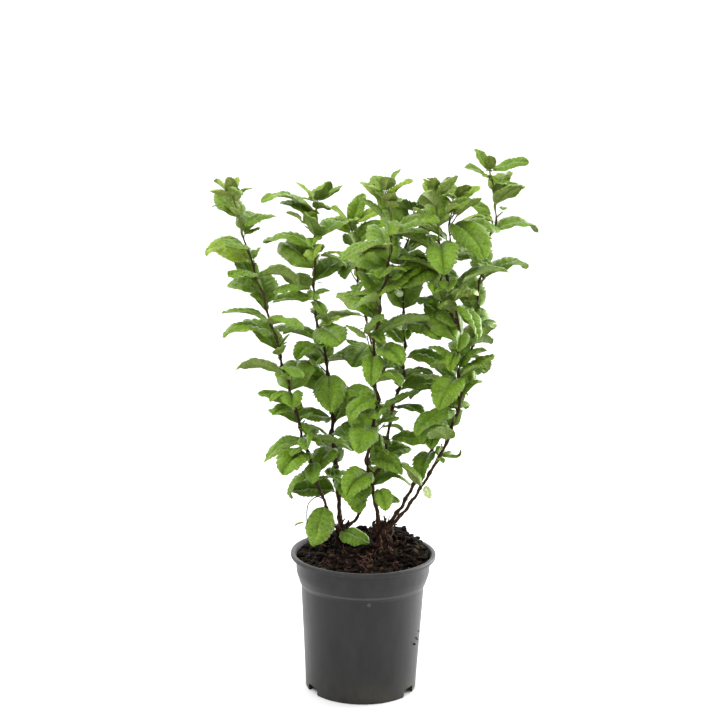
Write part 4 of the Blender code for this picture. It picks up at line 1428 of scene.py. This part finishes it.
# Leaves that stand out in the photo: the cane and height that each springs from, its angle,
# rise, length, droop, roll, fold and width, and its tone.
STANDOUT_LEAVES = (
    ("left", 480, -166, 50, 62, 70, 0, 15, 0.50, "fresh"),
    ("outer_left", 485, 19, 36, 35, 40, 10, 20, 0.55, "fresh"),
    ("outer_left", 499, -162, 30, 23, 45, 0, 20, 0.42, "bright"),
    ("left", 445, 164, 43, 58, 85, -10, 12, 0.50, "mature"),
    ("outer_left", 262, -172, 7, 46, 75, -12, 10, 0.55, "bright"),
    ("outer_left", 229, 156, -19, 41, 55, -15, 12, 0.66, "mature"),
    ("outer_left", 193, -119, -57, 43, 12, 10, 8, 0.86, "mature"),
    ("outer_left", 160, -26, -4, 35, 14, 18, 10, 0.80, "deep"),
    ("centre", 221, -146, -19, 29, 40, -20, 10, 0.80, "deep"),
    ("centre", 209, -20, -5, 26, 22, 10, 10, 0.62, "bright"),
    ("right", 218, -148, 64, 35, 25, 0, 12, 0.72, "bright"),
    ("tall", 212, -160, 49, 29, 45, 0, 15, 0.50, "bright"),
    ("right", 226, -47, -46, 15, 20, 0, 10, 0.80, "faded"),
    ("right", 255, 10, -8, 24, 0, 0, 30, 0.42, "fresh"),
    ("right", 317, 32, 54, 30, 50, -10, 15, 0.55, "bright"),
    ("right", 332, 15, 54, 43, 45, 0, 20, 0.50, "bright"),
    ("outer_left", 358, 28, 68, 19, 25, 0, 30, 0.42, "fresh"),
    ("outer_left", 383, -171, 39, 50, 60, 0, 15, 0.50, "fresh"),
    ("outer_left", 302, -164, 36, 38, 30, -15, 10, 0.50, "bright"),
    ("outer_left", 288, 159, 19, 31, 15, 0, 10, 0.60, "mature"),
    ("outer_left", 250, 136, -34, 25, 30, 0, 10, 0.60, "faded"),
)
CURLED_LEAF = 13
CURLED_BEND = -110.0
DRY_STALK_FROM = 200
DRY_STALK_LINE = ((-57.8, -5.0, 196.0), (-58.6, -5.0, 177.0), (-57.2, -5.0, 160.0))
DRY_STALK_RADIUS = 0.62
DRY_LEAF = (184.0, -4.0, 11.0, 30.0, 0.0, 30.0, 0.55)
FINE_STEP = 14.0
FINE_WANDER = (0.2, 0.8)
FINE_TRIES = 5
SPUR_RISE = (0.5, 1.6)
SPUR_LENGTH = (2.0, 14.0)
SPUR_RADII = (1.0, 0.85, 0.65)
SPUR_LEAVES = (1, 2)
SPUR_LEAF = (0.3, 0.85, 0.55)
SPUR_SWING = 100.0
BUD_CHANCE = 0.25
BUD_LEAF = (0.07, 0.16)
TUFT_LEAVES = 2
TUFT_LEAF = (0.14, 0.32)


class FineGrowth:
    """The spurs and leaves that a mass carries besides those of its coarse solid."""

    def __init__(self, growth, standing):
        self.growth, self.kept_clear = growth, list(standing)
        self.spurs, self.leaves = [], []
        first = SEED_SPACING * growth.stretch["fine_seed"]
        count = max(1, round((growth.places[-1] - growth.places[0]) / FINE_STEP))
        for k in range(count):
            rng = random.Random(first + k)
            self.grow_spur(rng, *self.on_stem((k + rng.uniform(*FINE_WANDER)) / count))
        if growth.stretch["top"]:
            rng = random.Random(first + count)
            root = growth.points[-1] - UP * 0.6
            start_angle = rng.uniform(0.0, 360.0)
            for k in range(TUFT_LEAVES):
                size = rng.uniform(*TUFT_LEAF)
                self.try_leaf(rng, root, start_angle + k * TURN, size, 1.0, True)

    def on_stem(self, share):
        """A point at a share of the kinked stem, and how far that is along the whole cane."""
        places, points = self.growth.places, self.growth.points
        distance = places[0] + share * (places[-1] - places[0])
        last = len(places) - 1
        k = next(k for k in range(1, last + 1) if places[k] >= distance or k == last)
        part = (distance - places[k - 1]) / (places[k] - places[k - 1])
        along = clamp(grown_share(self.growth.stretch, distance), 0.0, 1.0)
        return points[k - 1].lerp(points[k], part), along

    def grow_spur(self, rng, at, along):
        angle = rng.uniform(0.0, 360.0)
        heading = (outward(angle) + UP * rng.uniform(*SPUR_RISE)).normalized()
        tip = at + heading * rng.uniform(*SPUR_LENGTH)
        bud = rng.random() < BUD_CHANCE
        before = len(self.leaves)
        for k in range(rng.randint(*SPUR_LEAVES)):
            size = rng.uniform(*BUD_LEAF) if bud else leaf_size(along) * rng.triangular(*SPUR_LEAF)
            root = at.lerp(tip, rng.uniform(0.5, 0.95)) if k else tip
            turned = angle + rng.uniform(-SPUR_SWING, SPUR_SWING)
            self.try_leaf(rng, root, turned, size, youth(along), bud)
        if len(self.leaves) > before:
            self.spurs.append([at, at.lerp(tip, 0.5) + UP * 0.3, tip])

    def try_leaf(self, rng, root, angle, size, young, may_touch):
        for _ in range(FINE_TRIES):
            leaf = draw_leaf(rng, root, angle, size, young)
            if leaf.lowest() < LOWEST_LEAF_POINT:
                continue
            blade = tree_of(leaf.solid(1))
            if may_touch or not any(blade.overlap(tree) for tree in self.kept_clear):
                self.leaves.append(leaf)
                self.kept_clear.append(blade)
                return


standouts = []
for cane_name, level, *bearing, tone in STANDOUT_LEAVES:
    route = CANES[cane_name]["route"]
    leaf = Leaf(route.at(route.at_height(level)), *bearing)
    add_blade(leaf, tone, CURLED_BEND if len(standouts) == CURLED_LEAF else None)
    standouts.append(leaf)

standing = [tree_of(*placed), tree_of(*[leaf.solid(1) for leaf in standouts])]
fine_growths = []
for growth in growths:
    fine = FineGrowth(growth, standing)
    fine_growths.append(fine)
    if fine.leaves:
        standing.append(tree_of(*[leaf.solid(1) for leaf in fine.leaves]))

# A dead leaf stalk that hangs at the lower left, as thin as a thread, with a shrivelled leaf.
route = CANES["outer_left"]["route"]
hook = route.at(route.at_height(DRY_STALK_FROM))
line = Route([hook, hook + Vector((-7.0, -1.0, 3.0)), *DRY_STALK_LINE], 6).points
dry_skin = flecked("dry_stalk", (0.030, 0.020, 0.018), (0.070, 0.050, 0.042), 0.8, 0.2)
dry_stalk = limb(line, [DRY_STALK_RADIUS] * len(line), 5)
dry_piece = make_piece("dry_leaf_stalk", *dry_stalk, [dry_skin], smooth_angle=60.0)
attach(dry_piece, "root")
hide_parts(*leafy_nodes)
add_blade(Leaf(Vector(DRY_STALK_LINE[1]), *DRY_LEAF), "young")

shoots = []
rng = random.Random(77)
for fine in fine_growths:
    shoots += [limb(line, SPUR_RADII, 6, 0.1) for line in fine.spurs]
    for leaf in fine.leaves:
        add_by_age(leaf, fine.growth.stretch, rng)

shoot_piece = joined_piece("axil_shoots", shoots, bark_skins["green"], 60.0)
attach(shoot_piece, "root")
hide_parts(*leafy_nodes)

for tone, (verts, faces, numbers) in leaf_meshes.items():
    piece = make_piece("leaves_" + tone, verts, faces, leaf_skins[tone], numbers, smooth_angle=75.0)
    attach(piece, "root")
    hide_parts(*leafy_nodes)
stalk_piece = joined_piece("leaf_stalks", stalks, stalk_skin, 60.0)
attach(stalk_piece, "root")
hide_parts(*leafy_nodes)


# The studio: a plain pale floor that runs on out of sight, a white room that is brightest at
# the back, a large soft light at the upper left in front and another low at the right behind.

FLOOR_REACH = 40.0
ROOM_FRONT = 0.90
ROOM_BACK = 3.7
ROOM_TURN = (-0.7, 0.9)
PAPER = (0.61, 0.61, 0.61)
PAPER_LIGHTER = (0.63, 0.63, 0.63)
LENS = 90.0
SENSOR = 36.0
CAMERA_AT = (-0.0071, -1.7868, 0.7265)
CAMERA_PITCH = 78.05
CAMERA_ROLL = 1.1

paper = Finish("studio_paper", 0.1)
paper_skin = paper.wear(paper.blend(paper.noise(300.0), PAPER, PAPER_LIGHTER), 0.9)
reach = FLOOR_REACH / MM
corners = [Vector((x * reach, y * reach, -0.2)) for x, y in ((-1, -1), (1, -1), (1, 1), (-1, 1))]
floor = make_piece("studio_floor", corners, [(0, 1, 2, 3)], [paper_skin])
floor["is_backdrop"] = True

world = bpy.data.worlds.new("white_room")
bpy.context.scene.world = world
world.use_nodes = True
room = Graph(world.node_tree)
looking = room.node("SeparateXYZ", {}, {0: room.node("TexCoord", out="Generated")}, out="Y")
glow = looking.between(*ROOM_TURN) * (ROOM_BACK - ROOM_FRONT) + ROOM_FRONT
background = world.node_tree.nodes["Background"].inputs
room.feed(background["Strength"], glow)
room.feed(background["Color"], (1.0, 1.0, 1.0))


def soft_light(name, at, aim, width, watts):
    data = bpy.data.lights.new(name, "AREA")
    data.shape = "RECTANGLE"
    data.size = data.size_y = width
    data.energy = watts
    light = bpy.data.objects.new(name, data)
    light.location = at
    light.rotation_euler = (Vector(aim) - Vector(at)).to_track_quat("-Z", "Y").to_euler()
    bpy.context.scene.collection.objects.link(light)


soft_light("key_light", (-0.9, -1.3, 1.9), (0.0, 0.0, 0.3), 0.8, 32.0)
soft_light("rim_light", (1.20, 0.65, 0.30), (0.0, 0.0, 0.08), 1.0, 46.0)

camera_data = bpy.data.cameras.new("photo_camera")
camera_data.lens = LENS
camera_data.sensor_width = SENSOR
camera_data.clip_end = 200.0
camera = bpy.data.objects.new("photo_camera", camera_data)
pitched = Matrix.Rotation(math.radians(CAMERA_PITCH), 4, "X")
rolled = Matrix.Rotation(math.radians(CAMERA_ROLL), 4, "Z")
camera.matrix_world = Matrix.Translation(CAMERA_AT) @ pitched @ rolled
bpy.context.scene.collection.objects.link(camera)
bpy.context.scene.camera = camera
bpy.context.scene.view_settings.view_transform = "Standard"

sizes = {"cad": [list(corner) for corner in cad_box], "visual": [list(corner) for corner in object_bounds()]}
